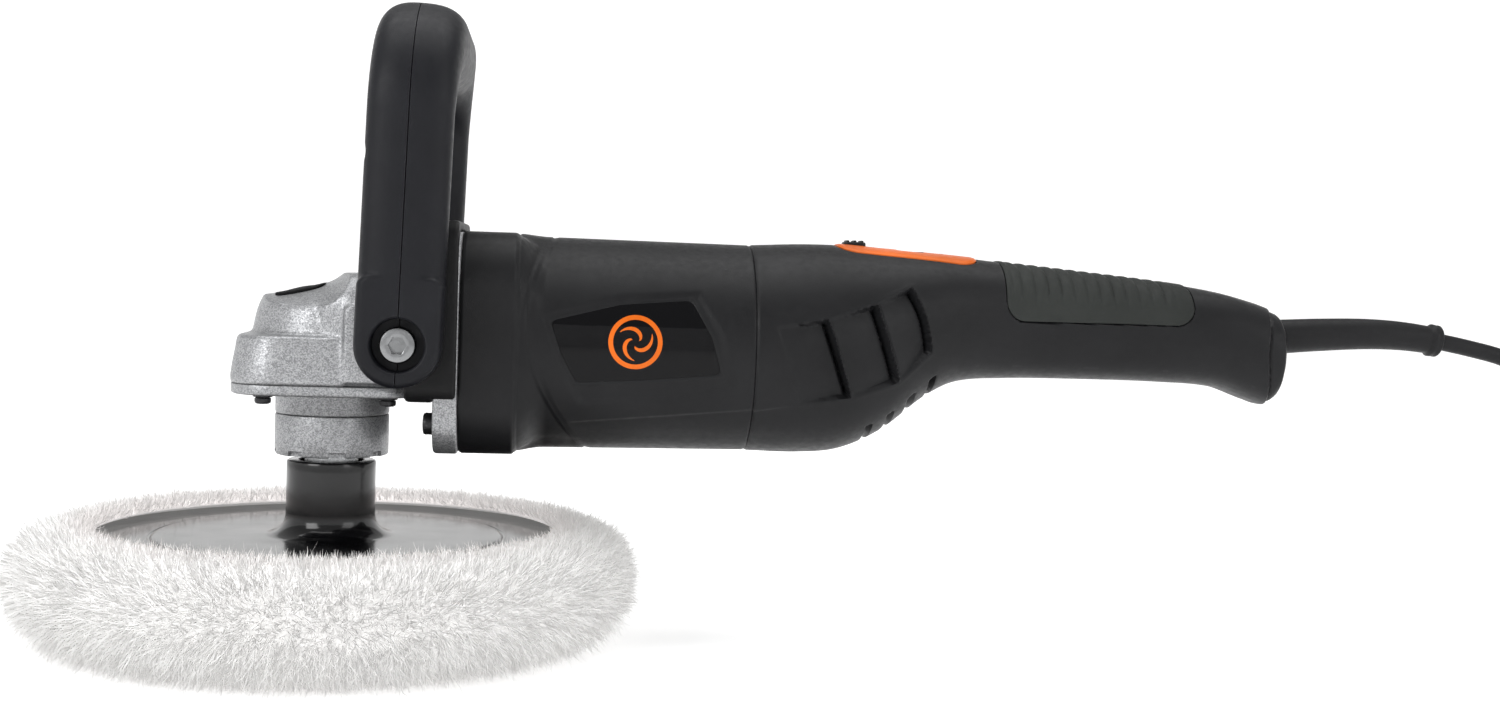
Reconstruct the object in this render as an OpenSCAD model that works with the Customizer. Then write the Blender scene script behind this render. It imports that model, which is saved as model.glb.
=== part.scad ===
// Rotary polisher: a bevel-geared head drives a wool pad on a backing plate. A universal motor lies
// behind the head, followed by the tail grip with its controls. A D-shaped handle straddles the head.
// Frame: origin at the centre of the pad's working face, +Z along the spindle, +X towards the tail.

/* [Pad] */
// Outer diameter of the wool bonnet
wool_d = 220; // [214:1:226]
// Diameter of the backing plate
plate_d = 178; // [174:1:179]
// Height of the backing plate's upper face above the work
plate_top = 36; // [35.5:0.1:36.2]

/* [Head] */
// Diameter of the hub on the backing plate
hub_d = 31; // [29:0.5:34]
// Diameter of the neck under the gear case
neck_d = 39.4; // [39:0.2:42]
// Teeth of the crown gear on the spindle
crown_teeth = 40; // [40:1:40]
// Teeth of the pinion on the armature
pinion_teeth = 10; // [10:1:10]

/* [Motor] */
// Height of the motor axis above the work
axis_z = 106; // [105.8:0.1:106.2]
// Outer radius of the motor housing at its front
motor_r = 37.6; // [37.2:0.1:38]
// Width of the square gear case flange
flange_w = 76; // [75:0.5:77]

/* [Handle] */
// Height of the handle's top above the work
handle_top = 221; // [211:1:231]
// Distance between the outer faces of the handle's legs
handle_w = 114.4; // [114:0.2:118]
// Width of a handle leg, seen from the side
leg_w = 28.4; // [27:0.2:29]
// Backward lean of the handle
handle_lean = 1.7; // [0:0.1:3]

/* [Hidden] */
$fn = 72;
fit = 0.05; // radial clearance of pieces that sit in each other
far = 200; // longer than any cut needs

// Heights up the spindle
hub_top = 62.4;
insert_top = 58;
neck_low = 64.6;
neck_seam = 79;
plate_low = 86.7;
case_low = 90.3;
case_step = 107;
case_ridge = 128.8;
cavity_top = 112;
gear_well_top = 102;
gear_well_r = 26.4;
bearing_low = 75;
bearing_high = 86;

// Elastic in the bonnet's hem: distance from the spindle, height and thickness
elastic_at = 85;
elastic_z = 37.6;
elastic_r = 0.9;

// Half widths of the head
head_half = 32;
block_half = 31;
screw_half = 21;

// Places along the motor axis
flange_front = 37;
flange_rear = 45.4;
shroud_front = 27.5;
collar_rear = 64.4;
seam_x = 146.2;
tail_end = 344;
flange_screw_y = 27.5;
flange_screw_z = 27.7;
rear_r = 36.9; // motor housing radius at the seam
bore_r = 34.3; // inside of the motor housing
core_front = 74;
core_rear = 116;
shaft_r = 5;

// Bevel gears, with their common apex where the spindle and motor axes meet
gear_r = 24.4;
pinion_angle = atan(pinion_teeth / crown_teeth);
cone_out = gear_r / cos(pinion_angle);
face_w = 6.4;
addendum = 1;
dedendum = 1.35;

// Side handle, in its own frame with the bolt axis at the origin
bolt_x = 26.5;
bolt_r = 4;
leg_out = handle_w / 2;
leg_in = 41.2;
leg_mid = (leg_out + leg_in) / 2;
leg_t = (leg_out - leg_in) / 2;
bar_t = 14;
bar_z = handle_top - axis_z - bar_t;
bend_r = 26;
bar_bulge = 2.4; // how far the bar stands out behind the legs
lug_top = 22;

// Spindle lock, at an angle on the far side of the head
lock_angle = 105;
lock_z = 95;
lock_travel = 3.5;

// Coiled part of the cord
cord_d = 6.2;
coil_centre = [532, 22];
coil_in = 18.5;
coil_out = 49.7;
coil_mid_out = 46.5;

// Route of the cord from the strain relief down to the coil, and from the coil to the plug
cord_route = [
    [409, 0, 115.4], [422, 0, 113], [436, 0, 109.6], [450, -1, 103], [461, -3, 93], [468, -6, 79],
    [473, -9, 63], [478, -13, 46], [485, -17, 30], [494, -21, 16], [506, -23.6, 9.4],
    [518, -24.4, 9.3], [532, -24.5, 9.3]
];
plug_route = [[578.5, 22, 3.1], [578.5, 38, 3.1], [578.5, 54, 4], [578.5, 66, 6.5], [578.5, 76, 9]];
relief_route = [[343, 0, 115.2], [362, 0, 116.6], [380, 0, 117.4], [395, 0, 117], [409, 0, 115.4]];
plug_y = 76;
plug_z = 9;

// Tail outline: place along X, lowest Z, highest Z, half width
tail_stations = [
    [146.2, 69, 143, 37], [165, 68.8, 144, 36.6], [180, 70.5, 144, 35.4], [195, 77.5, 143, 32.6],
    [210, 89.5, 142, 28.2], [222, 95.6, 141.2, 24.6], [240, 97.4, 139.6, 21.6],
    [270, 97.8, 137, 20], [300, 97.5, 134.2, 19.6], [320, 96.2, 131.4, 20], [334, 91.6, 128, 20],
    [340, 90.2, 126, 19.4], [344, 93.2, 124.6, 18.2]
];
tail_wall = 3.2;
tail_inner_end = 338;
speed_keys = [[215, 142.2], [222, 141.6]]; // place along X and height of each key's top
board_top = 131.4; // where the keys rest on the board's switches

// Clamshell screws: X, Z and the height of the head's seat above the split plane
tail_screw_places = [[158, 82, 22], [158, 130, 22], [240, 106, 15], [326, 105, 14]];
// Handle screws, in the handle's frame: Y and Z
handle_screw_places = [[-leg_mid, 62], [leg_mid, 62], [0, bar_z]];

// Colours
silver = [0.74, 0.75, 0.76];
steel = [0.6, 0.61, 0.63];
black = [0.1, 0.1, 0.11];
soft_black = [0.15, 0.15, 0.15];
orange = [0.93, 0.42, 0.1];
copper = [0.72, 0.4, 0.2];
iron = [0.35, 0.35, 0.37];
white = [0.93, 0.92, 0.9];

// ---------- helpers ----------

module rounded_square(w, h, r) {
    square([w - 2 * r, h], center = true);
    square([w, h - 2 * r], center = true);
    for (x = [-1, 1], y = [-1, 1])
        translate([x * (w / 2 - r), y * (h / 2 - r)])
            circle(r);
}

// Draws along +X from x on the motor axis: the child's x is Y, its y is Z
module on_motor_axis(x) {
    translate([x, 0, axis_z])
        rotate([90, 0, 90])
            children();
}

module ring(r_out, r_in, h) {
    difference() {
        cylinder(r = r_out, h = h);
        translate([0, 0, -1])
            cylinder(r = r_in, h = h + 2);
    }
}

// Points along Y: an outline of X and Z, from y_low to y_high
module from_side(y_low, y_high) {
    translate([0, y_high, 0])
        rotate([90, 0, 0])
            linear_extrude(y_high - y_low)
                children();
}

module both_sides() {
    children();
    mirror([0, 1, 0])
        children();
}

// Solid through a list of rings, each a list of points counter-clockwise as seen from the far end
module skin(rings) {
    n = len(rings[0]);
    last = len(rings) - 1;
    polyhedron(
        points = [for (r = rings) each r],
        faces = concat(
            [[for (j = [0 : n - 1]) j]],
            [[for (j = [n - 1 : -1 : 0]) last * n + j]],
            [for (i = [0 : last - 1], j = [0 : n - 1])
                let (a = i * n + j, b = i * n + (j + 1) % n)
                each [[a, a + n, b + n], [a, b + n, b]]]
        )
    );
}

function unit(v) = v / norm(v);

// Point on a smooth curve through the route at u, where whole numbers are the route's own points
function route_point(route, u) =
    let (
        last = len(route) - 1,
        i = min(floor(u), last - 1),
        t = u - i,
        p0 = route[max(i - 1, 0)],
        p1 = route[i],
        p2 = route[i + 1],
        p3 = route[min(i + 2, last)]
    )
    p1 + t * ((p2 - p0) + t * ((2 * p0 - 5 * p1 + 4 * p2 - p3) + t * (3 * (p1 - p2) + p3 - p0))) / 2;

// Ring of the cord or its sleeve at u along the route
function route_ring(route, u, r, sides) =
    let (
        last = len(route) - 1,
        step = 0.05,
        ahead = unit(route_point(route, min(u + step, last)) - route_point(route, max(u - step, 0))),
        side = unit(cross(ahead, [0.1, 1, 0.2])),
        up = cross(ahead, side)
    )
    [for (k = [0 : sides - 1])
        let (a = 360 * k / sides)
        route_point(route, u) + r * (side * cos(a) + up * sin(a))];

module swept_cord(route, per_span) {
    spans = (len(route) - 1) * per_span;
    skin([for (i = [0 : spans]) route_ring(route, i / per_span, cord_d / 2, 10)]);
}

// Helical wire spring along +Z
module coil_spring(r, wire, length, turns) {
    steps = turns * 12;
    skin([for (i = [0 : steps])
        let (a = 360 * i / 12, z = wire + (length - 2 * wire) * i / steps)
        [for (k = [0 : 5])
            let (b = 60 * k)
            [(r + wire * cos(b)) * cos(a), (r + wire * cos(b)) * sin(a), z - wire * sin(b)]]]);
}

// Deep-groove ball bearing on +Z: outer ring, inner ring and balls
module bearing_ring_outer(r_out, r_in, h) {
    mid = (r_out + r_in) / 2;
    difference() {
        ring(r_out, mid + (r_out - r_in) * 0.18, h);
        translate([0, 0, h / 2])
            rotate_extrude()
                translate([mid, 0])
                    circle((r_out - r_in) * 0.26 + fit);
    }
}

module bearing_ring_inner(r_out, r_in, h) {
    mid = (r_out + r_in) / 2;
    difference() {
        ring(mid - (r_out - r_in) * 0.18, r_in, h);
        translate([0, 0, h / 2])
            rotate_extrude()
                translate([mid, 0])
                    circle((r_out - r_in) * 0.26 + fit);
    }
}

module bearing_ball_set(r_out, r_in, h) {
    mid = (r_out + r_in) / 2;
    for (a = [0 : 45 : 315])
        rotate(a)
            translate([mid, 0, h / 2])
                sphere((r_out - r_in) * 0.26);
}

module lower_bearing_place() {
    translate([0, 0, bearing_low])
        children();
}

module front_bearing_place() {
    on_motor_axis(31)
        children();
}

module rear_bearing_place() {
    on_motor_axis(145)
        children();
}

// ---------- gear head ----------

module lock_place() {
    translate([0, 0, lock_z])
        rotate(lock_angle)
            rotate([0, 90, 0])
                children();
}

module dome_profile() {
    polygon([[0, case_step], [27.7, case_step], [27, 111], [25.8, 116.5], [24.2, 119.5], [22, 121.2],
        [12, 123.4], [0, 124.6]]);
}

module gear_case() color(silver) {
    difference() {
        union() {
            translate([0, 0, case_low])
                linear_extrude(case_step - case_low)
                    rounded_square(2 * head_half, 2 * head_half, 16);
            rotate_extrude()
                dome_profile();
            translate([2, 0, (case_low + case_ridge) / 2])
                rotate([90, 0, 90])
                    linear_extrude(flange_front + 1 - 2)
                        rounded_square(2 * block_half, case_ridge - case_low, 12);
            on_motor_axis(flange_front)
                linear_extrude(flange_rear - flange_front)
                    rounded_square(flange_w, flange_w, 12);
            both_sides()
                from_side(block_half - 2, head_half + 1)
                    translate([(6.8 + shroud_front) / 2, (91.5 + 118) / 2])
                        rounded_square(shroud_front - 6.8, 118 - 91.5, 2);
            both_sides()
                from_side(block_half - 2, leg_in - 0.3)
                    translate([bolt_x, axis_z])
                        circle(12);
            difference() {
                lock_place()
                    translate([0, 0, 28])
                        cylinder(r = 6.5, h = 10);
                translate([0, 0, case_low - 10])
                    cylinder(r = 60, h = 10);
            }
        }
        translate([0, 0, case_low - 1])
            cylinder(r = gear_well_r, h = gear_well_top - case_low + 1);
        translate([0, 0, gear_well_top - 1])
            cylinder(r = gear_well_r - 5.4, h = cavity_top - gear_well_top + 1);
        translate([0, 0, cavity_top - 1])
            cylinder(r = 7 + fit, h = 10.5);
        on_motor_axis(0)
            cylinder(r = 11, h = 32);
        on_motor_axis(31)
            cylinder(r = 15 + fit, h = 20);
        both_sides()
            from_side(28, 45)
                translate([bolt_x, axis_z])
                    circle(bolt_r + fit);
        for (y = [-1, 1], z = [-1, 1])
            on_motor_axis(flange_front - 1)
                translate([y * flange_screw_y, z * flange_screw_z, 0])
                    cylinder(r = 2 + fit, h = 12);
        for (x = [-1, 1], y = [-1, 1])
            translate([x * screw_half, y * screw_half, case_low - 1])
                cylinder(r = 1.6 + fit, h = 9);
        lock_place()
            translate([0, 0, 25])
                cylinder(r = 2.2 + fit, h = 10);
        lock_place()
            translate([0, 0, 30])
                cylinder(r = 4.5, h = 10);
    }
}

module head_badge() color(black) {
    translate([-9.5, 0, 123.9])
        rotate([0, -9, 0])
            linear_extrude(1.2)
                rounded_square(16, 22, 4);
}

module bearing_plate() color(silver) {
    difference() {
        union() {
            translate([0, 0, plate_low])
                linear_extrude(case_low - plate_low)
                    rounded_square(2 * head_half + 0.8, 2 * head_half, 16);
            translate([0, 0, neck_seam])
                cylinder(r = neck_d / 2, h = plate_low - neck_seam);
        }
        translate([0, 0, neck_seam - 1])
            cylinder(r = 17.5 + fit, h = bearing_high - neck_seam + 1);
        translate([0, 0, neck_seam])
            cylinder(r = 14, h = 20);
        for (x = [-1, 1], y = [-1, 1])
            translate([x * screw_half, y * screw_half, plate_low - 1])
                cylinder(r = 1.6 + fit, h = 6);
    }
}

module neck_collar() color(silver) {
    difference() {
        translate([0, 0, neck_low])
            cylinder(r = neck_d / 2, h = neck_seam - neck_low);
        translate([0, 0, bearing_low])
            cylinder(r = 17.5 + fit, h = 10);
        translate([0, 0, 70])
            cylinder(r = 13 + fit, h = 10);
        translate([0, 0, neck_low - 1])
            cylinder(r = 11, h = 10);
        for (a = [0 : 45 : 315])
            rotate(a)
                translate([neck_d / 2 - 1.4, -3, neck_low - 1])
                    cube([5, 6, 2.8]);
    }
}

module plate_screws() color(black) {
    for (x = [-1, 1], y = [-1, 1])
        translate([x * screw_half, y * screw_half, 0]) {
            translate([0, 0, plate_low - 3.2])
                difference() {
                    cylinder(r = 2.9, h = 3.2);
                    translate([0, 0, -1])
                        cylinder(r = 1.5, h = 2.6, $fn = 6);
                }
            translate([0, 0, plate_low])
                cylinder(r = 1.6, h = 10);
        }
}

module spindle_seal() color(soft_black) {
    translate([0, 0, 70.2])
        ring(13, 9.35, 3.8);
}

module lower_bearing_outer() color(steel) {
    lower_bearing_place()
        bearing_ring_outer(17.5, 7.5, 11);
}

module lower_bearing_inner() color(steel) {
    lower_bearing_place()
        bearing_ring_inner(17.5, 7.5 + fit, 11);
}

module front_bearing_outer() color(steel) {
    front_bearing_place()
        bearing_ring_outer(15, shaft_r, 9);
}

module front_bearing_inner() color(steel) {
    front_bearing_place()
        bearing_ring_inner(15, shaft_r + fit, 9);
}

module rear_bearing_outer() color(steel) {
    rear_bearing_place()
        bearing_ring_outer(11, 4, 7);
}

module rear_bearing_inner() color(steel) {
    rear_bearing_place()
        bearing_ring_inner(11, 4 + fit, 7);
}

module bearing_balls() color(steel) {
    lower_bearing_place()
        bearing_ball_set(17.5, 7.5, 11);
    front_bearing_place()
        bearing_ball_set(15, shaft_r, 9);
    rear_bearing_place()
        bearing_ball_set(11, 4, 7);
}

module top_bush() color(copper) {
    translate([0, 0, cavity_top])
        ring(7, 5 + fit, 9);
}

module gear_shroud() color(black) {
    shroud_low = 86;
    shroud_high = 147.6;
    difference() {
        translate([shroud_front, 0, (shroud_low + shroud_high) / 2])
            rotate([90, 0, 90])
                linear_extrude(44.8 - shroud_front)
                    rounded_square(81, shroud_high - shroud_low, 6);
        translate([shroud_front - 1, -block_half - fit, shroud_low - 1])
            cube([20, 2 * block_half + 2 * fit, case_ridge + fit - shroud_low + 1]);
        on_motor_axis(flange_front - fit)
            linear_extrude(20)
                rounded_square(flange_w + 2 * fit, flange_w + 2 * fit, 12);
        both_sides()
            from_side(block_half - 1, 45)
                translate([bolt_x, axis_z])
                    circle(12.4);
        for (y = [-1, 1])
            on_motor_axis(flange_front - 4)
                translate([y * flange_screw_y, flange_screw_z, 0])
                    cylinder(r = 4.3, h = 5);
    }
}

module flange_screws() color(black) {
    for (y = [-1, 1], z = [-1, 1])
        on_motor_axis(flange_front)
            translate([y * flange_screw_y, z * flange_screw_z, 0]) {
                translate([0, 0, -3.5])
                    difference() {
                        cylinder(r = 3.8, h = 3.5);
                        translate([0, 0, -1])
                            cylinder(r = 2, h = 3, $fn = 6);
                    }
                cylinder(r = 2, h = 22);
            }
}

// ---------- spindle and pad ----------

module spindle() color(steel) {
    difference() {
        rotate_extrude()
            polygon([[0, 38], [7, 38], [7, insert_top], [9.25, insert_top], [9.25, bearing_low],
                [7.5, bearing_low], [7.5, 91], [7, 91], [7, 100.4], [5, 100.4], [5, 120.5],
                [0, 120.5]]);
        for (s = [-1, 1])
            translate([s * 13, 0, hub_top + 2.3])
                cube([10, 30, 4.6], center = true);
    }
}

// One straight bevel tooth, along the pitch line that starts at the apex
module gear_tooth(low) {
    translate([0, 0, cone_out - face_w])
        linear_extrude(face_w)
            polygon([[-1.05, -low], [-0.2, addendum], [0.2, addendum], [1.05, -low]]);
}

module crown_gear() color(iron) {
    translate([0, 0, axis_z])
        for (k = [0 : crown_teeth - 1])
            rotate((k + 0.5) * 360 / crown_teeth)
                rotate([0, 90 + pinion_angle, 0])
                    rotate(90)
                        gear_tooth(dedendum + 0.3);
    difference() {
        rotate_extrude()
            polygon([[7 + fit, 91], [7 + fit, 100.4], [17.4, 100.4], [25.2, 98.45], [25.2, 91.3],
                [11, 91.3], [11, bearing_high + 0.3], [7.5 + fit, bearing_high + 0.3],
                [7.5 + fit, 91]]);
        for (a = [0 : 90 : 270])
            rotate(a)
                lock_place()
                    translate([0, 0, 21])
                        cylinder(r = 2.6, h = 10);
    }
}

module backing_plate() color(black) {
    difference() {
        rotate_extrude()
            polygon([[0, 30], [plate_d / 2 - 1, 30], [plate_d / 2, 31], [plate_d / 2, 33.6],
                [plate_d / 2 - 2, plate_top - 0.6], [62, plate_top - 0.6], [60, plate_top],
                [23, plate_top], [18.6, plate_top + 1.4], [16.4, plate_top + 4.4],
                [hub_d / 2, plate_top + 8], [hub_d / 2, hub_top - 0.6], [hub_d / 2 - 0.6, hub_top],
                [0, hub_top]]);
        translate([0, 0, 33])
            cylinder(r = 10, h = 40);
        translate([0, 0, insert_top])
            cylinder(r = 11.2, h = 40);
    }
}

module hub_insert() color(steel) {
    translate([0, 0, 33])
        ring(10 - fit, 7 + fit, insert_top - 33);
}

module foam_pad() color(soft_black) {
    translate([0, 0, 20])
        cylinder(r = plate_d / 2 - 1, h = 10);
}

module wool_bonnet() color(white) {
    wool_r = wool_d / 2;
    cup_r = plate_d / 2 + 0.5;
    difference() {
        rotate_extrude()
            polygon([[0, 0], [wool_r - 18, 0], [wool_r - 6, 5], [wool_r, 15], [wool_r - 2, 30],
                [wool_r - 9, 37], [wool_r - 18, 39.4], [83, 38.8], [79.5, plate_top + 0.3],
                [cup_r, plate_top + 0.3], [cup_r, 19.8], [0, 19.8]]);
        rotate_extrude()
            translate([elastic_at, elastic_z])
                circle(elastic_r + fit);
    }
}

module bonnet_elastic() color(white) {
    rotate_extrude()
        translate([elastic_at, elastic_z])
            circle(elastic_r);
}

// ---------- motor ----------

module armature_shaft() color(steel) {
    on_motor_axis(0)
        rotate_extrude()
            polygon([[0, 17.5], [2.4, 17.5], [2.4, 30.4], [shaft_r, 30.4], [shaft_r, 144],
                [4, 144], [4, 152.5], [0, 152.5]]);
}

module pinion_gear() color(iron) {
    root_out = gear_r * tan(pinion_angle) - dedendum;
    tooth_start = cone_out - face_w;
    difference() {
        union() {
            on_motor_axis(0)
                for (k = [0 : pinion_teeth - 1])
                    rotate(180 + k * 360 / pinion_teeth)
                        rotate([-pinion_angle, 0, 0])
                            gear_tooth(1.9);
            on_motor_axis(0)
                rotate_extrude()
                    polygon([[0, 17.8], [tooth_start * sin(pinion_angle) - dedendum, 17.8],
                        [root_out, gear_r + 0.2], [root_out, 26], [8, 26], [8, 30], [0, 30]]);
        }
        on_motor_axis(10)
            cylinder(r = 2.4 + fit, h = 30);
    }
}

module cooling_fan() color(soft_black) {
    on_motor_axis(51) {
        ring(9, shaft_r + fit, 10);
        ring(31, 8.9, 1.6);
        for (a = [0 : 360 / 11 : 359])
            rotate(a)
                translate([12, 0, 1.5])
                    rotate(18)
                        cube([18, 1.4, 7.5]);
    }
}

module fan_baffle() color(soft_black) {
    on_motor_axis(flange_rear + 0.1)
        ring(bore_r - 0.1, 22, 2.6);
}

module rotor_core() color(iron) {
    on_motor_axis(core_front)
        difference() {
            ring(20, shaft_r + fit, core_rear - core_front);
            for (a = [0 : 30 : 330])
                rotate(a) {
                    translate([16.8, 0, -1])
                        cylinder(r = 1.8, h = 60);
                    translate([17, -0.5, -1])
                        cube([6, 1, 60]);
                }
        }
}

module rotor_windings() color(copper) {
    for (x = [core_front - 8.2, core_rear + 0.2])
        on_motor_axis(x)
            rotate_extrude()
                polygon([[7, 0.8], [8, 0], [18.4, 0], [19.4, 1.2], [19.4, 6.4], [18.2, 8], [8, 8],
                    [7, 7.2]]);
    for (a = [0 : 30 : 330])
        on_motor_axis(core_front - 4)
            rotate(a)
                translate([16.8, 0, 0])
                    cylinder(r = 1.7, h = core_rear - core_front + 8);
}

module commutator() color(copper) {
    on_motor_axis(127)
        difference() {
            ring(12, shaft_r + fit, 14);
            for (a = [0 : 15 : 345])
                rotate(a)
                    translate([10.8, -0.25, -1])
                        cube([3, 0.5, 16]);
        }
}

module stator_core() color(iron) {
    on_motor_axis(core_front)
        linear_extrude(core_rear - core_front)
            difference() {
                circle(bore_r - 0.1);
                circle(20.7);
                for (side = [0, 180])
                    rotate(side)
                        coil_section(0.15);
            }
}

// Cross-section of a field coil's two sides
module coil_section(grow) {
    difference() {
        circle(31.5 + grow);
        circle(23.5 - grow);
        translate([0, -far / 2])
            square([far, 14 - 2 * grow + far], center = true);
        translate([0, far])
            square([26 - 2 * grow, 2 * far], center = true);
    }
}

module field_coils() color(copper) {
    for (side = [0, 180])
        on_motor_axis(core_front - 8)
            rotate(side) {
                linear_extrude(core_rear - core_front + 16)
                    coil_section(0);
                for (z = [0, core_rear - core_front + 8.2])
                    translate([0, 0, z])
                        linear_extrude(7.8)
                            difference() {
                                circle(31.5);
                                circle(23.5);
                                translate([0, -far / 2])
                                    square([far, 14 + far], center = true);
                            }
            }
}

function housing_r(x) = motor_r + (rear_r - motor_r) * (x - collar_rear) / (seam_x - collar_rear);

module motor_cone(grow, x_low, x_high) {
    on_motor_axis(x_low)
        cylinder(r1 = housing_r(x_low) + grow, r2 = housing_r(x_high) + grow, h = x_high - x_low);
}

module motor_housing() color(black) {
    difference() {
        union() {
            on_motor_axis(flange_rear)
                linear_extrude(collar_rear - flange_rear)
                    rounded_square(76.8, 76.8, 20);
            motor_cone(0, collar_rear - 4, seam_x);
        }
        on_motor_axis(flange_rear - 1)
            cylinder(r = bore_r, h = seam_x - flange_rear + 2);
        for (y = [-1, 1], z = [-1, 1])
            on_motor_axis(flange_rear - 1)
                translate([y * flange_screw_y, z * flange_screw_z, 0])
                    cylinder(r = 2 + fit, h = 16);
    }
    difference() {
        union() {
            on_motor_axis(141.6)
                cylinder(r = 13.5, h = 10.6);
            for (a = [90, 210, 330])
                on_motor_axis(141.6)
                    rotate(a)
                        translate([12, -5, 0])
                            cube([23.4, 10, 3.8]);
        }
        on_motor_axis(141)
            cylinder(r = 7, h = 20);
        on_motor_axis(145)
            cylinder(r = 11 + fit, h = 20);
    }
}

module side_labels() color(black) {
    both_sides()
        difference() {
            intersection() {
                from_side(20, 50)
                    polygon([[76, 114.5], [100, 120.4], [124, 123], [130.4, 111], [134, 97],
                        [110, 96], [86, 93], [80, 103]]);
                motor_cone(0.5, 70, 140);
            }
            motor_cone(0.04, 69, 141);
        }
}

module brush_holders() color(soft_black) {
    both_sides()
        difference() {
            translate([127, 15, axis_z - 5.5])
                cube([14, 18.5, 11]);
            translate([128.9, 14, axis_z - 3.3])
                cube([10.2, 18.5, 6.6]);
        }
}

module carbon_brushes() color(iron) {
    both_sides()
        translate([129, 12.3, axis_z - 3.2])
            cube([10, 13.7, 6.4]);
}

module brush_springs() color(steel) {
    both_sides()
        translate([134, 26.1, axis_z])
            rotate([-90, 0, 0])
                coil_spring(2.4, 0.4, 6.2, 5);
}

// ---------- tail grip ----------

// Smooth value of one column of tail_stations at x
function tail_slope(i, c) =
    let (a = tail_stations[max(i - 1, 0)], b = tail_stations[min(i + 1, len(tail_stations) - 1)])
    (b[c] - a[c]) / (b[0] - a[0]);
function tail_span(x, i = 0) =
    i >= len(tail_stations) - 2 || x < tail_stations[i + 1][0] ? i : tail_span(x, i + 1);
function tail_value(x, c) =
    let (
        i = tail_span(x),
        a = tail_stations[i],
        b = tail_stations[i + 1],
        w = b[0] - a[0],
        t = max(0, min(1, (x - a[0]) / w))
    )
    a[c] * (1 + 2 * t) * (1 - t) ^ 2 + b[c] * t ^ 2 * (3 - 2 * t)
        + w * (tail_slope(i, c) * t * (1 - t) ^ 2 - tail_slope(i + 1, c) * t ^ 2 * (1 - t));

// The section is round at the motor and squarer along the grip
function tail_power(x) = 2 / (2 + 0.5 * max(0, min(1, (x - seam_x) / 90)));
function bulge(v, p) = sign(v) * abs(v) ^ p;
function tail_ring(x, grow, a_start, a_step, count) =
    let (
        low = tail_value(x, 1) - grow,
        high = tail_value(x, 2) + grow,
        half = tail_value(x, 3) + grow,
        p = tail_power(x)
    )
    [for (k = [0 : count - 1])
        let (a = a_start + a_step * k)
        [x, half * bulge(cos(a), p), (low + high) / 2 + (high - low) / 2 * bulge(sin(a), p)]];

tail_xs = concat([for (x = [seam_x : 8.3 : 330]) x], [for (x = [332 : 2 : tail_end]) x]);
inner_xs = concat([seam_x - 1], [for (x = [seam_x + 8 : 10.5 : 330]) x], [334, tail_inner_end]);

module tail_half(grow, xs) {
    skin([for (x = xs) tail_ring(x, grow, 90, 12, 16)]);
}

module tail_whole(grow, x_low, x_high, step) {
    skin([for (x = [x_low : step : x_high]) tail_ring(x, grow, 0, 12, 30)]);
}

module bezel_outline(grow) {
    translate([203, 0])
        rounded_square(51 + 2 * grow, 27.6 + 2 * grow, 8);
}

module grip_outline(grow) {
    translate([272, 134])
        rounded_square(70 + 2 * grow, 30 + 2 * grow, 7);
}

module tail_bosses() {
    for (s = tail_screw_places)
        from_side(-60, 60)
            translate([s[0], s[1]])
                circle(4.6);
}

// The near half; the far half is its mirror with screw seats
module tail_shell() {
    difference() {
        tail_half(0, tail_xs);
        difference() {
            tail_half(-tail_wall, inner_xs);
            tail_bosses();
        }
        translate([0, 0, 120])
            linear_extrude(40)
                bezel_outline(0.1);
        difference() {
            from_side(-60, 10)
                grip_outline(0.1);
            tail_whole(-1.7, 230, 314, 7);
        }
        translate([tail_inner_end - 5, 0, 115.2])
            rotate([0, 90, 0])
                cylinder(r = 6.65, h = 20);
        for (i = [0 : 2])
            translate([172 + 16 * i, -40, 104 + 4 * i])
                rotate([0, 14, 0])
                    cube([2.4, 34, 20], center = true);
    }
}

module tail_left() color(black) {
    difference() {
        tail_shell();
        for (s = tail_screw_places)
            from_side(-12.6, 1)
                translate([s[0], s[1]])
                    circle(1.6 + fit);
    }
}

module tail_right() color(black) {
    difference() {
        mirror([0, 1, 0])
            tail_shell();
        for (s = tail_screw_places) {
            from_side(-1, 60)
                translate([s[0], s[1]])
                    circle(1.6 + fit);
            from_side(s[2], 60)
                translate([s[0], s[1]])
                    circle(3.8);
        }
    }
}

module tail_screws() color(steel) {
    for (s = tail_screw_places)
        translate([s[0], 0, s[1]])
            rotate([-90, 0, 0]) {
                translate([0, 0, s[2]])
                    difference() {
                        cylinder(r = 3.4, h = 2.4);
                        translate([0, 0, 1])
                            cylinder(r = 1.6, h = 3, $fn = 6);
                    }
                translate([0, 0, -12])
                    cylinder(r = 1.6, h = s[2] + 12);
            }
}

module grip_overmold() color(soft_black) {
    difference() {
        intersection() {
            tail_whole(0.5, 230, 314, 7);
            from_side(-60, 60)
                grip_outline(0);
        }
        tail_whole(-1.6, 228, 316, 8);
    }
}

module window_outline(grow) {
    translate([204.5, 0])
        rounded_square(10 + 2 * grow, 13 + 2 * grow, 1.5);
}

module control_bezel() color(orange) {
    difference() {
        intersection() {
            tail_whole(0.5, 170, 236, 6);
            translate([0, 0, 120])
                linear_extrude(40)
                    bezel_outline(0);
        }
        tail_whole(-2.8, 164, 242, 6);
        translate([180, -4, 120])
            cube([16.5, 8, 40]);
        translate([0, 0, 120])
            linear_extrude(40)
                window_outline(fit);
        for (key = speed_keys)
            translate([key[0], 0, 120])
                cylinder(r = 3, h = 40);
    }
}

module display_window() color([0.1, 0.14, 0.12]) {
    translate([0, 0, 138.6])
        linear_extrude(4)
            window_outline(0);
}

module circuit_board() color([0.1, 0.35, 0.2]) {
    translate([203, -10, 128.4])
        cube([27, 20, 1.6]);
}

module switch_body() color(soft_black) {
    translate([177, -9, 112])
        cube([23, 18, 20]);
}

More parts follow.
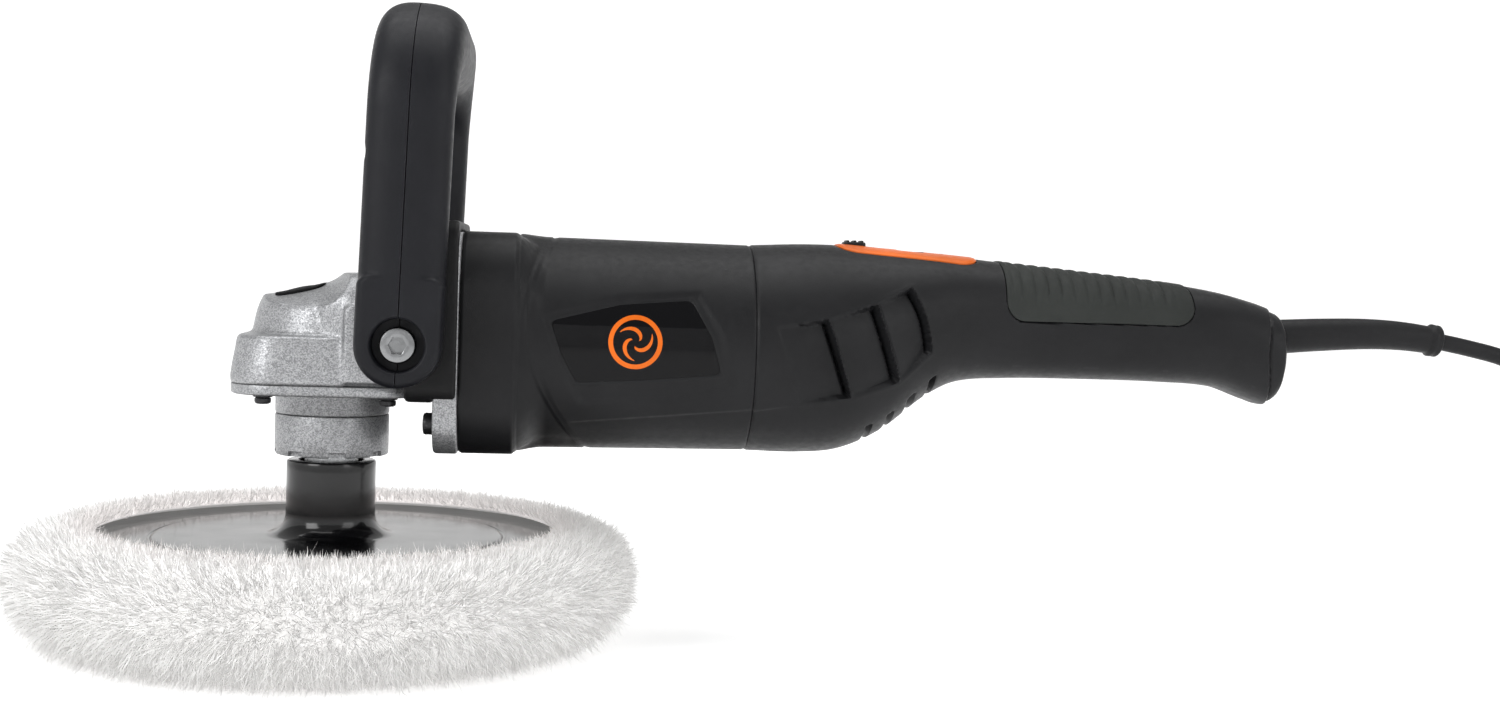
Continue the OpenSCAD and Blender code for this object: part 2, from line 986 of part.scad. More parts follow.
module power_slider() color(black) {
    translate([180.4, -3.7, 132.2])
        cube([8, 7.4, 13.2]);
    for (i = [0 : 2])
        translate([181.7 + 2.6 * i, -3.2, 145])
            cube([1, 6.4, 0.9]);
}

module speed_key(key) {
    translate([key[0], 0, board_top])
        cylinder(r = 2.85, h = key[1] - board_top);
}

module speed_up() color(soft_black) {
    speed_key(speed_keys[0]);
}

module speed_down() color(soft_black) {
    speed_key(speed_keys[1]);
}

module cord_clamp() color(soft_black) {
    translate([319, -9, 120.6])
        cube([9, 18, 3.4]);
}

module strain_relief() color(black) {
    spans = 12;
    skin([for (i = [0 : spans])
        let (u = 4 * i / spans)
        route_ring(relief_route, u, 6.5 - 1.4 * u / 4, 16)]);
    translate([316, 0, 115.2])
        rotate([0, 90, 0])
            cylinder(r = 5.2, h = tail_end - 316);
    translate([tail_inner_end - 3, 0, 115.2])
        rotate([0, 90, 0])
            cylinder(r = 7.7, h = 2.9);
    translate([tail_inner_end - 1, 0, 115.2])
        rotate([0, 90, 0])
            cylinder(r = 6.55, h = tail_end + 1.5 - tail_inner_end);
    translate([403.5, 0, 116.1])
        rotate([0, 97, 0])
            cylinder(r = 5.9, h = 5);
}

// ---------- cord and plug ----------

module coil_solid() {
    translate([coil_centre[0], coil_centre[1], 0])
        ring(coil_out, coil_in, 2 * cord_d + 0.1);
}

module cord_tube() color(soft_black) {
    difference() {
        swept_cord(cord_route, 3);
        coil_solid();
    }
    difference() {
        swept_cord(plug_route, 2);
        coil_solid();
    }
}

module cord_coil() color(soft_black) {
    coil_solid();
}

module plug_body() color(soft_black) {
    translate([578.5, plug_y, plug_z])
        rotate([-90, 0, 0]) {
            cylinder(r1 = 4.4, r2 = 6, h = 20);
            translate([0, 0, 18])
                linear_extrude(27)
                    rounded_square(24, 17.6, 5);
        }
}

module plug_blades() color(steel) {
    for (s = [-1, 1])
        translate([578.5 + s * 6.35 - 0.75, plug_y + 45, plug_z - 3.2])
            cube([1.5, 17, 6.4]);
}

// ---------- side handle ----------

module handle_place() {
    translate([bolt_x, 0, axis_z])
        rotate([0, handle_lean, 0])
            children();
}

// Stations round the loop: Y, Z, direction of the outer face, half thickness, rear half width
function leg_station(side, z) = [side * leg_mid, z, side > 0 ? 0 : 180, leg_t, leg_w / 2];
function bend_station(side, a) =
    let (k = min(a, 180 - a) / 90)
    [side * (leg_mid - bend_r) + bend_r * cos(a), bar_z - bend_r + bend_r * sin(a), a,
        leg_t + (bar_t - leg_t) * k, leg_w / 2 + bar_bulge * k];
loop_stations = concat(
    [for (z = [lug_top, 40, 58]) leg_station(-1, z)],
    [for (a = [180 : -15 : 90]) bend_station(-1, a)],
    [for (a = [90 : -15 : 0]) bend_station(1, a)],
    [for (z = [58, 40, lug_top]) leg_station(1, z)]
);
function loop_ring(s, a_start, grow) =
    [for (k = [0 : 11])
        let (
            a = a_start + 180 * k / 11,
            w = (a_start < 0 ? leg_w / 2 : s[4]) + grow,
            across = -w * bulge(cos(a), 0.8),
            out = (s[3] + grow) * bulge(sin(a), 0.8)
        )
        [across, s[0] + out * cos(s[2]), s[1] + out * sin(s[2])]];

module loop_half(a_start, grow) {
    skin([for (s = loop_stations) loop_ring(s, a_start, grow)]);
}

module half_space(front) {
    translate([front ? -far : 0, -far, -far])
        cube([far, 2 * far, 2 * far]);
}

module handle_half(front) {
    a_start = front ? -90 : 90;
    difference() {
        union() {
            difference() {
                loop_half(a_start, 0);
                difference() {
                    loop_half(a_start, -3);
                    for (p = handle_screw_places)
                        translate([-far / 2, p[0], p[1]])
                            rotate([0, 90, 0])
                                cylinder(r = 3.8, h = far);
                }
            }
            intersection() {
                half_space(front);
                both_sides()
                    from_side(leg_in, leg_out) {
                        circle(leg_w / 2);
                        translate([-leg_w / 2, 0])
                            square([leg_w, lug_top + 0.5]);
                    }
            }
        }
        from_side(-far, far)
            circle(bolt_r + 0.1);
        both_sides()
            from_side(leg_out - 8, far)
                circle(8.8);
        for (p = handle_screw_places)
            translate([-far / 2, p[0], p[1]])
                rotate([0, 90, 0])
                    cylinder(r = 1.6 + fit, h = far / 2 + 11);
        if (front)
            for (p = handle_screw_places)
                translate([-far - 11.5, p[0], p[1]])
                    rotate([0, 90, 0])
                        cylinder(r = 3.4, h = far);
    }
}

module handle_front() color(black) {
    handle_place()
        handle_half(true);
}

module handle_rear() color(black) {
    handle_place()
        handle_half(false);
}

module handle_screws() color(steel) {
    handle_place()
        for (p = handle_screw_places)
            translate([-13.5, p[0], p[1]])
                rotate([0, 90, 0]) {
                    difference() {
                        cylinder(r = 3.1, h = 2);
                        translate([0, 0, -1])
                            cylinder(r = 1.4, h = 2, $fn = 6);
                    }
                    cylinder(r = 1.6, h = 23);
                }
}

module handle_bolts() color(steel) {
    both_sides()
        translate([bolt_x, leg_out - 8, axis_z])
            rotate([-90, 0, 0]) {
                difference() {
                    cylinder(r = 6, h = 5.4);
                    translate([0, 0, 2])
                        cylinder(r = 2.9, h = 5, $fn = 6);
                }
                translate([0, 0, -20])
                    cylinder(r = bolt_r, h = 20.5);
            }
}

// ---------- spindle lock ----------

module lock_button() color(soft_black) {
    lock_place() {
        translate([0, 0, 27.6])
            cylinder(r = 2.2, h = 9);
        translate([0, 0, 36])
            cylinder(r = 4.4, h = 4.6);
    }
}

module lock_spring() color(steel) {
    lock_place()
        translate([0, 0, 30.1])
            coil_spring(3.2, 0.35, 5.8, 3);
}

gear_case();
head_badge();
bearing_plate();
neck_collar();
plate_screws();
spindle_seal();
lower_bearing_outer();
top_bush();
front_bearing_outer();
rear_bearing_outer();
bearing_balls();
gear_shroud();
flange_screws();
motor_housing();
side_labels();
fan_baffle();
stator_core();
field_coils();
brush_holders();
carbon_brushes();
brush_springs();
tail_left();
tail_right();
tail_screws();
grip_overmold();
control_bezel();
display_window();
circuit_board();
switch_body();
cord_clamp();
strain_relief();
cord_tube();
cord_coil();
plug_body();
plug_blades();
handle_bolts();
spindle();
crown_gear();
lower_bearing_inner();
backing_plate();
hub_insert();
foam_pad();
wool_bonnet();
bonnet_elastic();
armature_shaft();
pinion_gear();
front_bearing_inner();
rear_bearing_inner();
rotor_core();
rotor_windings();
commutator();
cooling_fan();
handle_front();
handle_rear();
handle_screws();
power_slider();
speed_up();
speed_down();
lock_button();
lock_spring();
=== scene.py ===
"""Looks of the rotary polisher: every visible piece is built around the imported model, in its frame.

Lengths in the shape code are millimetres, and mesh_object() turns them into metres.
"""

import math

import bmesh
import bpy
import numpy as np
from mathutils import Matrix, Vector, kdtree


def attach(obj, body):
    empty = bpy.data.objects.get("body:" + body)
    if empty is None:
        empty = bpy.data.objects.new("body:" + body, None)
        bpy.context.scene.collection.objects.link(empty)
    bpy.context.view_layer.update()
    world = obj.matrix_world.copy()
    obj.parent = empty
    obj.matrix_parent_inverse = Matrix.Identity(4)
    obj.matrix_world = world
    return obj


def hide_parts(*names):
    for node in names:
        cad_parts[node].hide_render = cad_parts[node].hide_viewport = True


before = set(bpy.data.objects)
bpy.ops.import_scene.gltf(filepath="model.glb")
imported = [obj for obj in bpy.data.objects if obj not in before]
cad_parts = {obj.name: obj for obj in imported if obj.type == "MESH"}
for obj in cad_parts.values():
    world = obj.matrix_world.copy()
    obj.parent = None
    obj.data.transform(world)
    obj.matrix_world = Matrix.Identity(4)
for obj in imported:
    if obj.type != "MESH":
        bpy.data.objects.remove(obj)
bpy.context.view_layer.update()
scene = bpy.context.scene
MM = 0.001
AXIS_Z = 106.0
BOLT = (26.5, 0.0, AXIS_Z)  # where the side handle's bolts cross the middle
BOLT_BOSS_R = 12.0
LOCK_ANGLE = math.radians(105)
LOCK_DIRECTION = (math.cos(LOCK_ANGLE), math.sin(LOCK_ANGLE), 0)
LOCK_Z = 95.0
FLANGE_FRONT, FLANGE_REAR, COLLAR_REAR, SEAM_X = 37.0, 45.4, 64.4, 146.2  # along the motor axis
FLANGE_SCREWS = [(y, z) for y in (-27.5, 27.5) for z in (-27.7, 27.7)]  # measured from the motor axis
rng = np.random.RandomState(7)


# ---------- camera, lights and floor ----------

def add_camera():
    data = bpy.data.cameras.new("camera")
    data.lens = 43.2
    data.sensor_width = 36.0
    data.clip_start = 0.01
    data.clip_end = 100.0
    camera = bpy.data.objects.new("camera", data)
    camera.location = (0.07616, -0.64734, 0.13538)
    camera.rotation_euler = [math.radians(a) for a in (87.274, -1.852, -6.229)]
    scene.collection.objects.link(camera)
    scene.camera = camera


def add_area_light(name, place, aim, width, height, watts):
    data = bpy.data.lights.new(name, "AREA")
    data.shape = "RECTANGLE"
    data.size = width
    data.size_y = height
    data.energy = watts
    light = bpy.data.objects.new(name, data)
    light.location = place
    direction = Vector(aim) - Vector(place)
    light.rotation_euler = direction.to_track_quat("-Z", "Y").to_euler()
    scene.collection.objects.link(light)


def add_world():
    world = bpy.data.worlds.new("studio")
    world.use_nodes = True
    background = world.node_tree.nodes["Background"]
    background.inputs["Color"].default_value = (1.0, 1.0, 1.0, 1.0)
    background.inputs["Strength"].default_value = 0.46
    scene.world = world
    scene.view_settings.view_transform = "Standard"


# ---------- materials ----------

def new_material(name, color, rough, metallic=0.0, **sockets):
    material = bpy.data.materials.new(name)
    material.use_nodes = True
    shader = material.node_tree.nodes["Principled BSDF"]
    shader.inputs["Base Color"].default_value = (*color, 1.0)
    shader.inputs["Roughness"].default_value = rough
    shader.inputs["Metallic"].default_value = metallic
    for key, value in sockets.items():
        shader.inputs[key.replace("_", " ")].default_value = value
    return material


def add_node(material, kind, **values):
    node = material.node_tree.nodes.new(kind)
    for key, value in values.items():
        if key in node.inputs:
            node.inputs[key].default_value = value
        else:
            setattr(node, key, value)
    return node


def link(material, source, target):
    material.node_tree.links.new(source, target)


def place_on_object(material, node, socket="Vector"):
    """Feeds the place on the object, in metres, to a node."""
    where = add_node(material, "ShaderNodeTexCoord")
    link(material, where.outputs["Object"], node.inputs[socket])
    return node


def noise(material, scale, detail=3.0, stretch=(1.0, 1.0, 1.0)):
    """Noise in the object's frame, so that scale is in features per metre."""
    mapping = place_on_object(material, add_node(material, "ShaderNodeMapping"))
    mapping.inputs["Scale"].default_value = stretch
    texture = add_node(material, "ShaderNodeTexNoise", Scale=scale, Detail=detail)
    link(material, mapping.outputs["Vector"], texture.inputs["Vector"])
    return texture.outputs["Fac"]


def remap(material, value, low, high, to_low, to_high):
    node = add_node(material, "ShaderNodeMapRange")
    node.inputs["From Min"].default_value = low
    node.inputs["From Max"].default_value = high
    node.inputs["To Min"].default_value = to_low
    node.inputs["To Max"].default_value = to_high
    link(material, value, node.inputs["Value"])
    return node.outputs["Result"]


def tint(material, factor, color_a, color_b):
    """Colour from color_a at 0 to color_b at 1. Color_a is a colour or another node's output."""
    node = add_node(material, "ShaderNodeMix", data_type="RGBA")
    if isinstance(color_a, bpy.types.NodeSocket):
        link(material, color_a, node.inputs[6])
    else:
        node.inputs[6].default_value = (*color_a, 1.0)
    node.inputs[7].default_value = (*color_b, 1.0)
    link(material, factor, node.inputs[0])
    return node.outputs[2]


def shade(material, socket, value):
    link(material, value, material.node_tree.nodes["Principled BSDF"].inputs[socket])


def bump(material, *heights):
    """Heights are (value, distance in metres) pairs, laid one over another."""
    normal = None
    for value, distance in heights:
        node = add_node(material, "ShaderNodeBump", Strength=1.0, Distance=distance)
        link(material, value, node.inputs["Height"])
        if normal is not None:
            link(material, normal, node.inputs["Normal"])
        normal = node.outputs["Normal"]
    shade(material, "Normal", normal)


def moulded(name, color, rough, grain=2600.0, depth=0.00004, edge=1.5, shine=0.17):
    """Textured moulded plastic or rubber: fine grain, uneven gloss and paler worn edges."""
    material = new_material(name, color, rough, Specular_IOR_Level=shine)
    broad = remap(material, noise(material, 35.0, 4.0), 0.3, 0.7, 0.0, 1.0)
    darker = [c * 0.86 for c in color]
    lighter = [min(1.0, c * 1.16 + 0.001) for c in color]
    body = tint(material, broad, darker, lighter)
    geometry = add_node(material, "ShaderNodeNewGeometry")
    worn = remap(material, geometry.outputs["Pointiness"], 0.53, 0.62, 0.0, 0.6)
    paler = [min(1.0, c * edge + 0.004) for c in color]
    shade(material, "Base Color", tint(material, worn, body, paler))
    gloss = noise(material, 420.0, 3.0)
    shade(material, "Roughness", remap(material, gloss, 0.3, 0.7, rough - 0.06, rough + 0.07))
    bump(material, (noise(material, grain, 2.0), depth))
    return material


def painted_cast():
    """Silver paint with metal flakes over a fine sand-cast surface."""
    material = new_material("silver_cast", (0.3, 0.305, 0.315), 0.4, metallic=0.75)
    flakes = place_on_object(material, add_node(material, "ShaderNodeTexVoronoi", Scale=2600.0))
    split = add_node(material, "ShaderNodeSeparateColor")
    link(material, flakes.outputs["Color"], split.inputs["Color"])
    sparkle = split.outputs["Red"]
    shade(material, "Base Color", tint(material, sparkle, (0.19, 0.193, 0.2), (0.43, 0.435, 0.445)))
    shade(material, "Roughness", remap(material, split.outputs["Green"], 0.0, 1.0, 0.3, 0.55))
    bump(
        material,
        (noise(material, 420.0, 3.0), 0.00004),
        (noise(material, 1500.0, 2.0), 0.00005),
        (split.outputs["Blue"], 0.00003),
    )
    return material


def machined(name, color, rough, stretch=(1.0, 1.0, 1.0), metallic=1.0):
    """Bare metal with fine tool marks and slight tarnish."""
    material = new_material(name, color, rough, metallic=metallic)
    marks = noise(material, 900.0, 2.0, stretch)
    tarnish = remap(material, noise(material, 60.0, 4.0), 0.35, 0.7, 0.0, 1.0)
    shade(material, "Base Color", tint(material, tarnish, color, [c * 0.72 for c in color]))
    shade(material, "Roughness", remap(material, marks, 0.3, 0.7, rough * 0.7, rough * 1.4))
    bump(material, (marks, 0.00003))
    return material


def gloss_black(name, rough, scratch=0.05, shine=0.15):
    """Polished black plastic with hairline marks."""
    material = new_material(name, (0.0025, 0.0025, 0.003), rough, Specular_IOR_Level=shine)
    smear = noise(material, 90.0, 5.0)
    shade(material, "Roughness", remap(material, smear, 0.35, 0.75, rough, rough + scratch))
    bump(material, (noise(material, 160.0, 2.0), 0.00003))
    return material


def wool_fibre(name, pale, shadow, warm):
    """White wool, slightly darker in patches, with a warm tint along the inner hem and a painted glow that
    lightens it as if light scattered through the fibres.
    """
    # The emission is painted light: the wool gives off a faint glow of its own to stand in for light
    # scattered inside real wool.
    material = new_material(name, pale, 0.9, Emission_Color=(1.0, 0.985, 0.97, 1.0), Emission_Strength=0.27)
    patches = remap(material, noise(material, 70.0, 4.0), 0.3, 0.75, 0.0, 1.0)
    body = tint(material, patches, shadow, pale)
    flat = place_on_object(material, add_node(material, "ShaderNodeVectorMath", operation="MULTIPLY"), 0)
    flat.inputs[1].default_value = (1.0, 1.0, 0.0)
    radius = add_node(material, "ShaderNodeVectorMath", operation="LENGTH")
    link(material, flat.outputs["Vector"], radius.inputs[0])
    inner = remap(material, radius.outputs["Value"], 0.079, 0.092, 0.35, 0.0)
    shade(material, "Base Color", tint(material, inner, body, warm))
    return material


def porous_foam():
    material = new_material("foam", (0.12, 0.12, 0.13), 0.85)
    cells = place_on_object(material, add_node(material, "ShaderNodeTexVoronoi", Scale=900.0))
    bump(material, (cells.outputs["Distance"], 0.0005))
    deep = remap(material, cells.outputs["Distance"], 0.0, 0.6, 0.0, 1.0)
    shade(material, "Base Color", tint(material, deep, (0.17, 0.17, 0.18), (0.07, 0.07, 0.08)))
    return material


def board():
    """Circuit board with darker copper tracks under the lacquer."""
    material = new_material("board_green", (0.02, 0.16, 0.07), 0.35)
    tracks = place_on_object(material, add_node(material, "ShaderNodeTexWave", Scale=300.0, Distortion=6.0))
    lines = remap(material, tracks.outputs["Fac"], 0.45, 0.55, 0.0, 1.0)
    shade(material, "Base Color", tint(material, lines, (0.02, 0.16, 0.07), (0.01, 0.09, 0.045)))
    return material


def wound_copper():
    """Enamelled wire: ridges that run round the windings."""
    material = new_material("copper", (0.62, 0.26, 0.11), 0.35, metallic=0.9)
    wires = place_on_object(material, add_node(material, "ShaderNodeTexWave", Scale=450.0, Distortion=1.5))
    bump(material, (wires.outputs["Fac"], 0.0002))
    shade(material, "Base Color", tint(material, wires.outputs["Fac"], (0.4, 0.15, 0.06), (0.75, 0.34, 0.15)))
    return material


MATERIALS = {
    "silver_cast": painted_cast(),
    "black_gloss": gloss_black("black_gloss", 0.13, shine=0.45),
    "label_gloss": gloss_black("label_gloss", 0.04, 0.02),
    "steel": machined("steel", (0.56, 0.57, 0.58), 0.3, (1.0, 1.0, 12.0)),
    "bolt_chrome": machined("bolt_chrome", (0.26, 0.265, 0.27), 0.2),
    "black_screw": machined("black_screw", (0.03, 0.03, 0.032), 0.35, metallic=0.6),
    "housing_black": moulded("housing_black", (0.0075, 0.0076, 0.0084), 0.44),
    "handle_black": moulded("handle_black", (0.0068, 0.0071, 0.0092), 0.44),
    "dark_plastic": moulded("dark_plastic", (0.007, 0.007, 0.0075), 0.48),
    "badge_black": moulded("badge_black", (0.004, 0.004, 0.0045), 0.5, shine=0.05),
    "grip_rubber": moulded("grip_rubber", (0.021, 0.023, 0.0215), 0.62, 3200.0, 0.00005, shine=0.14),
    "cord_rubber": moulded("cord_rubber", (0.008, 0.008, 0.0088), 0.48, 1500.0, 0.00005),
    "orange_plastic": moulded("orange_plastic", (0.56, 0.105, 0.006), 0.36, 3000.0, 0.00002, 1.1),
    "mark_orange": moulded("mark_orange", (0.6, 0.115, 0.007), 0.3, 3000.0, 0.00001, 1.05),
    "display_glass": gloss_black("display_glass", 0.03, 0.02),
    "board_green": board(),
    "copper": wound_copper(),
    "bronze": machined("bronze", (0.5, 0.3, 0.12), 0.35),
    "iron": machined("iron", (0.3, 0.3, 0.31), 0.45, (30.0, 1.0, 1.0)),
    "gear_steel": machined("gear_steel", (0.42, 0.42, 0.44), 0.3),
    "carbon": moulded("carbon", (0.03, 0.03, 0.032), 0.6),
    "foam": porous_foam(),
    "wool": wool_fibre("wool", (0.9, 0.895, 0.885), (0.84, 0.835, 0.83), (0.86, 0.72, 0.7)),
    "elastic": moulded("elastic", (0.7, 0.68, 0.65), 0.7, 1800.0, 0.0001),
}


# ---------- mesh helpers ----------

def finish_mesh(obj, smooth=True, merge=0.0):
    """Face normals outwards, and smooth shading."""
    work = bmesh.new()
    work.from_mesh(obj.data)
    if merge:
        bmesh.ops.remove_doubles(work, verts=work.verts, dist=merge)
    bmesh.ops.recalc_face_normals(work, faces=work.faces)
    work.to_mesh(obj.data)
    work.free()
    obj.data.polygons.foreach_set("use_smooth", [smooth] * len(obj.data.polygons))
    obj.data.update()
    return obj


def mesh_object(name, points, faces, smooth=True, merge=0.0):
    mesh = bpy.data.meshes.new(name)
    mesh.from_pydata((np.asarray(points, float).reshape(-1, 3) * MM).tolist(), [], faces)
    obj = bpy.data.objects.new(name, mesh)
    scene.collection.objects.link(obj)
    return finish_mesh(obj, smooth, merge)


def grid_faces(rows, cols, wrap=False, start=0):
    row = np.arange(rows - 1)[:, None]
    col = np.arange(cols if wrap else cols - 1)[None, :]
    a = start + row * cols + col
    b = start + row * cols + (col + 1) % cols
    return np.stack([a, b, b + cols, a + cols], -1).reshape(-1, 4).tolist()


def loft(name, rings, smooth=True):
    """Closed solid through rings of points, flat at both ends."""
    rings = np.asarray(rings, float)
    count, around = rings.shape[:2]
    faces = grid_faces(count, around, wrap=True)
    faces.append(list(range(around)))
    faces.append(list(range((count - 1) * around, count * around)))
    return mesh_object(name, rings, faces, smooth)


def turned(name, profile, ring_shape=False, steps=96, hexes=()):
    """Profile of (radius, height) turned round Z. Rows listed in hexes are hexagonal instead of round.

    A ring_shape profile closes on itself and leaves a hole. Any other starts and ends on the axis.
    """
    angles = np.arange(steps) * 2 * math.pi / steps
    rows = []
    for i, (radius, height) in enumerate(profile):
        r = np.full(steps, float(radius))
        if i in hexes:
            r = r * math.cos(math.pi / 6) / np.cos((angles % (math.pi / 3)) - math.pi / 6)
        rows.append(np.stack([r * np.cos(angles), r * np.sin(angles), np.full(steps, height)], -1))
    if ring_shape:
        rows.append(rows[0])
    rows = np.array(rows)
    return mesh_object(name, rows, grid_faces(len(rows), steps, wrap=True), merge=1e-7)


def shell(name, outer, inner, wrap=False, coarse=4):
    """Closed piece between a fine outer grid and an inner one that has only every coarse-th line."""
    rows, cols = outer.shape[:2]
    small_rows, small_cols = inner.shape[:2]
    base = rows * cols
    faces = grid_faces(rows, cols, wrap) + grid_faces(small_rows, small_cols, wrap, base)
    fine = np.arange(base).reshape(rows, cols)
    rough = base + np.arange(small_rows * small_cols).reshape(small_rows, small_cols)
    rims = [(fine[0], rough[0]), (fine[-1], rough[-1])]
    if wrap:
        rims = [(np.append(f, f[0]), np.append(r, r[0])) for f, r in rims]
    else:
        rims += [(fine[:, 0], rough[:, 0]), (fine[:, -1], rough[:, -1])]
    for f, r in rims:
        for k in range(len(r) - 1):
            faces.append([int(i) for i in f[k * coarse : (k + 1) * coarse + 1]] + [int(r[k + 1]), int(r[k])])
    return mesh_object(name, np.concatenate([outer.reshape(-1, 3), inner.reshape(-1, 3)]), faces)


def applied(obj):
    """The object with its modifiers made part of its mesh."""
    graph = bpy.context.evaluated_depsgraph_get()
    graph.update()
    mesh = bpy.data.meshes.new_from_object(obj.evaluated_get(graph))
    obj.modifiers.clear()
    obj.data = mesh
    obj.data.materials.clear()
    return obj


def joined(name, pieces):
    """One object of several closed pieces."""
    work = bmesh.new()
    for piece in pieces:
        piece.data.transform(piece.matrix_world)
        work.from_mesh(piece.data)
        bpy.data.objects.remove(piece)
    mesh = bpy.data.meshes.new(name)
    work.to_mesh(mesh)
    work.free()
    obj = bpy.data.objects.new(name, mesh)
    scene.collection.objects.link(obj)
    return finish_mesh(obj)


def cut(obj, *cutters):
    for cutter in cutters:
        modifier = obj.modifiers.new("cut", "BOOLEAN")
        modifier.operation = "DIFFERENCE"
        modifier.solver = "MANIFOLD"
        modifier.object = cutter
    applied(obj)
    for cutter in cutters:
        bpy.data.objects.remove(cutter)
    return obj


def common(obj, cutter):
    modifier = obj.modifiers.new("common", "BOOLEAN")
    modifier.operation = "INTERSECT"
    modifier.solver = "MANIFOLD"
    modifier.object = cutter
    applied(obj)
    bpy.data.objects.remove(cutter)
    return obj


def remeshed(obj, voxel, rounds=0):
    """One even skin round overlapping pieces, with its edges eased by rounds of smoothing."""
    modifier = obj.modifiers.new("skin", "REMESH")
    modifier.mode = "VOXEL"
    modifier.voxel_size = voxel * MM
    if rounds:
        smooth = obj.modifiers.new("ease", "SMOOTH")
        smooth.factor = 0.5
        smooth.iterations = rounds
    applied(obj)
    return finish_mesh(obj)


def placed(obj, origin, z_axis=(0, 0, 1), x_axis=(1, 0, 0)):
    """Moves a piece's mesh so that its own Z and X point along these directions."""
    z = Vector(z_axis).normalized()
    x = Vector(x_axis)
    x = (x - z * x.dot(z)).normalized()
    y = z.cross(x)
    turn = Matrix((x, y, z)).transposed().to_4x4()
    obj.data.transform(Matrix.Translation(Vector(origin) * MM) @ turn)
    obj.data.update()
    return obj


def on_motor_axis(obj, x, y=0.0, z=0.0):
    """A piece drawn along Z, laid along +X at a place measured from the motor axis."""
    return placed(obj, (x, y, AXIS_Z + z), (1, 0, 0), (0, 1, 0))


def rounded_rectangle(width, height, radius, steps=8):
    points = []
    for k, (sx, sy) in enumerate(((1, 1), (-1, 1), (-1, -1), (1, -1))):
        for i in range(steps + 1):
            a = math.radians(90 * (k + i / steps))
            points.append((sx * (width / 2 - radius) + radius * math.cos(a),
                           sy * (height / 2 - radius) + radius * math.sin(a)))
    return np.array(points)


def slab(name, width, height, radius, z_low, z_high, ease_low=0.8, ease_high=0.8):
    """Rounded rectangle with eased edges, from z_low to z_high."""
    rings = []
    for z0, ease, sign in ((z_low, ease_low, 1), (z_high, ease_high, -1)):
        arc = [math.radians(a) for a in (0, 30, 60, 90)]
        if sign < 0:
            arc = arc[::-1]
        for a in arc:
            inset = ease * (1 - math.sin(a))
            z = z0 + sign * ease * (1 - math.cos(a))
            outline = rounded_rectangle(width - 2 * inset, height - 2 * inset, max(radius - inset, 0.05))
            rings.append(np.column_stack([outline, np.full(len(outline), z)]))
    return loft(name, rings)


def rounded_outline(corners, radius, steps=5):
    """Outline with each corner replaced by a curve that starts radius away from it."""
    corners = np.asarray(corners, float)
    points = []
    for i, corner in enumerate(corners):
        for_side = corners[i - 1] - corner
        to_side = corners[(i + 1) % len(corners)] - corner
        start = corner + for_side * min(0.45, radius / np.linalg.norm(for_side))
        end = corner + to_side * min(0.45, radius / np.linalg.norm(to_side))
        for t in np.linspace(0, 1, steps):
            points.append((1 - t) ** 2 * start + 2 * t * (1 - t) * corner + t**2 * end)
    return np.array(points)


def side_prism(name, outline, y_low, y_high):
    """Outline of X and Z carried from y_low to y_high."""
    rings = []
    for y in (y_low, y_high):
        rings.append(np.column_stack([outline[:, 0], np.full(len(outline), y), outline[:, 1]]))
    return loft(name, rings, smooth=False)


def smooth_step(value, low, high):
    t = np.clip((value - low) / (high - low), 0, 1)
    return t * t * (3 - 2 * t)


def outward(points, centre, wrap=False):
    """Unit normals of a grid of points, away from a centre point or line of points."""
    du = np.gradient(points, axis=0)
    if wrap:
        dv = np.roll(points, -1, axis=1) - np.roll(points, 1, axis=1)
    else:
        dv = np.gradient(points, axis=1)
    normal = np.cross(du, dv)
    normal /= np.linalg.norm(normal, axis=-1, keepdims=True) + 1e-12
    away = np.sum(normal * (points - centre), axis=-1, keepdims=True)
    return np.where(away < 0, -normal, normal)


def outline_depth(x, z, outline):
    """How far a point is inside a convex outline, measured square to its nearest side."""
    outline = np.asarray(outline, float)
    centre = outline.mean(0)
    depth = np.full(np.shape(x), 1e9)
    for i in range(len(outline)):
        a = outline[i - 1]
        along = outline[i] - a
        across = np.array([-along[1], along[0]]) / np.linalg.norm(along)
        if np.dot(centre - a, across) < 0:
            across = -across
        depth = np.minimum(depth, (x - a[0]) * across[0] + (z - a[1]) * across[1])
    return depth


def dress(obj, material, body="root", replaces=()):
    obj.data.materials.clear()
    obj.data.materials.append(MATERIALS[material])
    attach(obj, body)
    if replaces:
        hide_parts(*replaces)
    return obj


# ---------- cord and plug ----------

CORD_D = 6.2
CORD_ROUTE = [
    (409, 0, 115.4), (422, 0, 113), (436, 0, 109.6), (450, -1, 103), (461, -3, 93), (468, -6, 79),
    (473, -9, 63), (478, -13, 46), (485, -17, 30), (494, -21, 16), (506, -23.6, 9.4),
    (518, -24.4, 9.3), (532, -24.5, 9.3),
]
PLUG_ROUTE = [(578.5, 22, 3.1), (578.5, 38, 3.1), (578.5, 54, 4), (578.5, 66, 6.5), (578.5, 76, 9)]
RELIEF_ROUTE = [(342.6, 0, 115.2), (362, 0, 116.6), (380, 0, 117.4), (395, 0, 117), (409, 0, 115.4)]
COIL_CENTRE = (532.0, 22.0)
COIL_MID_OUT = 46.5
COIL_TURNS = 4
PLUG = (578.5, 76.0, 9.0)


def smooth_route(route, per_span):
    """Points on a smooth curve through the route."""
    p = np.array(route, float)
    last = len(p) - 1
    points = []
    for i in range(last):
        p0, p1, p2, p3 = p[max(i - 1, 0)], p[i], p[i + 1], p[min(i + 2, last)]
        for k in range(per_span):
            t = k / per_span
            points.append(p1 + t * ((p2 - p0) + t * ((2 * p0 - 5 * p1 + 4 * p2 - p3)
                                                     + t * (3 * (p1 - p2) + p3 - p0))) / 2)
    points.append(p[-1])
    return np.array(points)


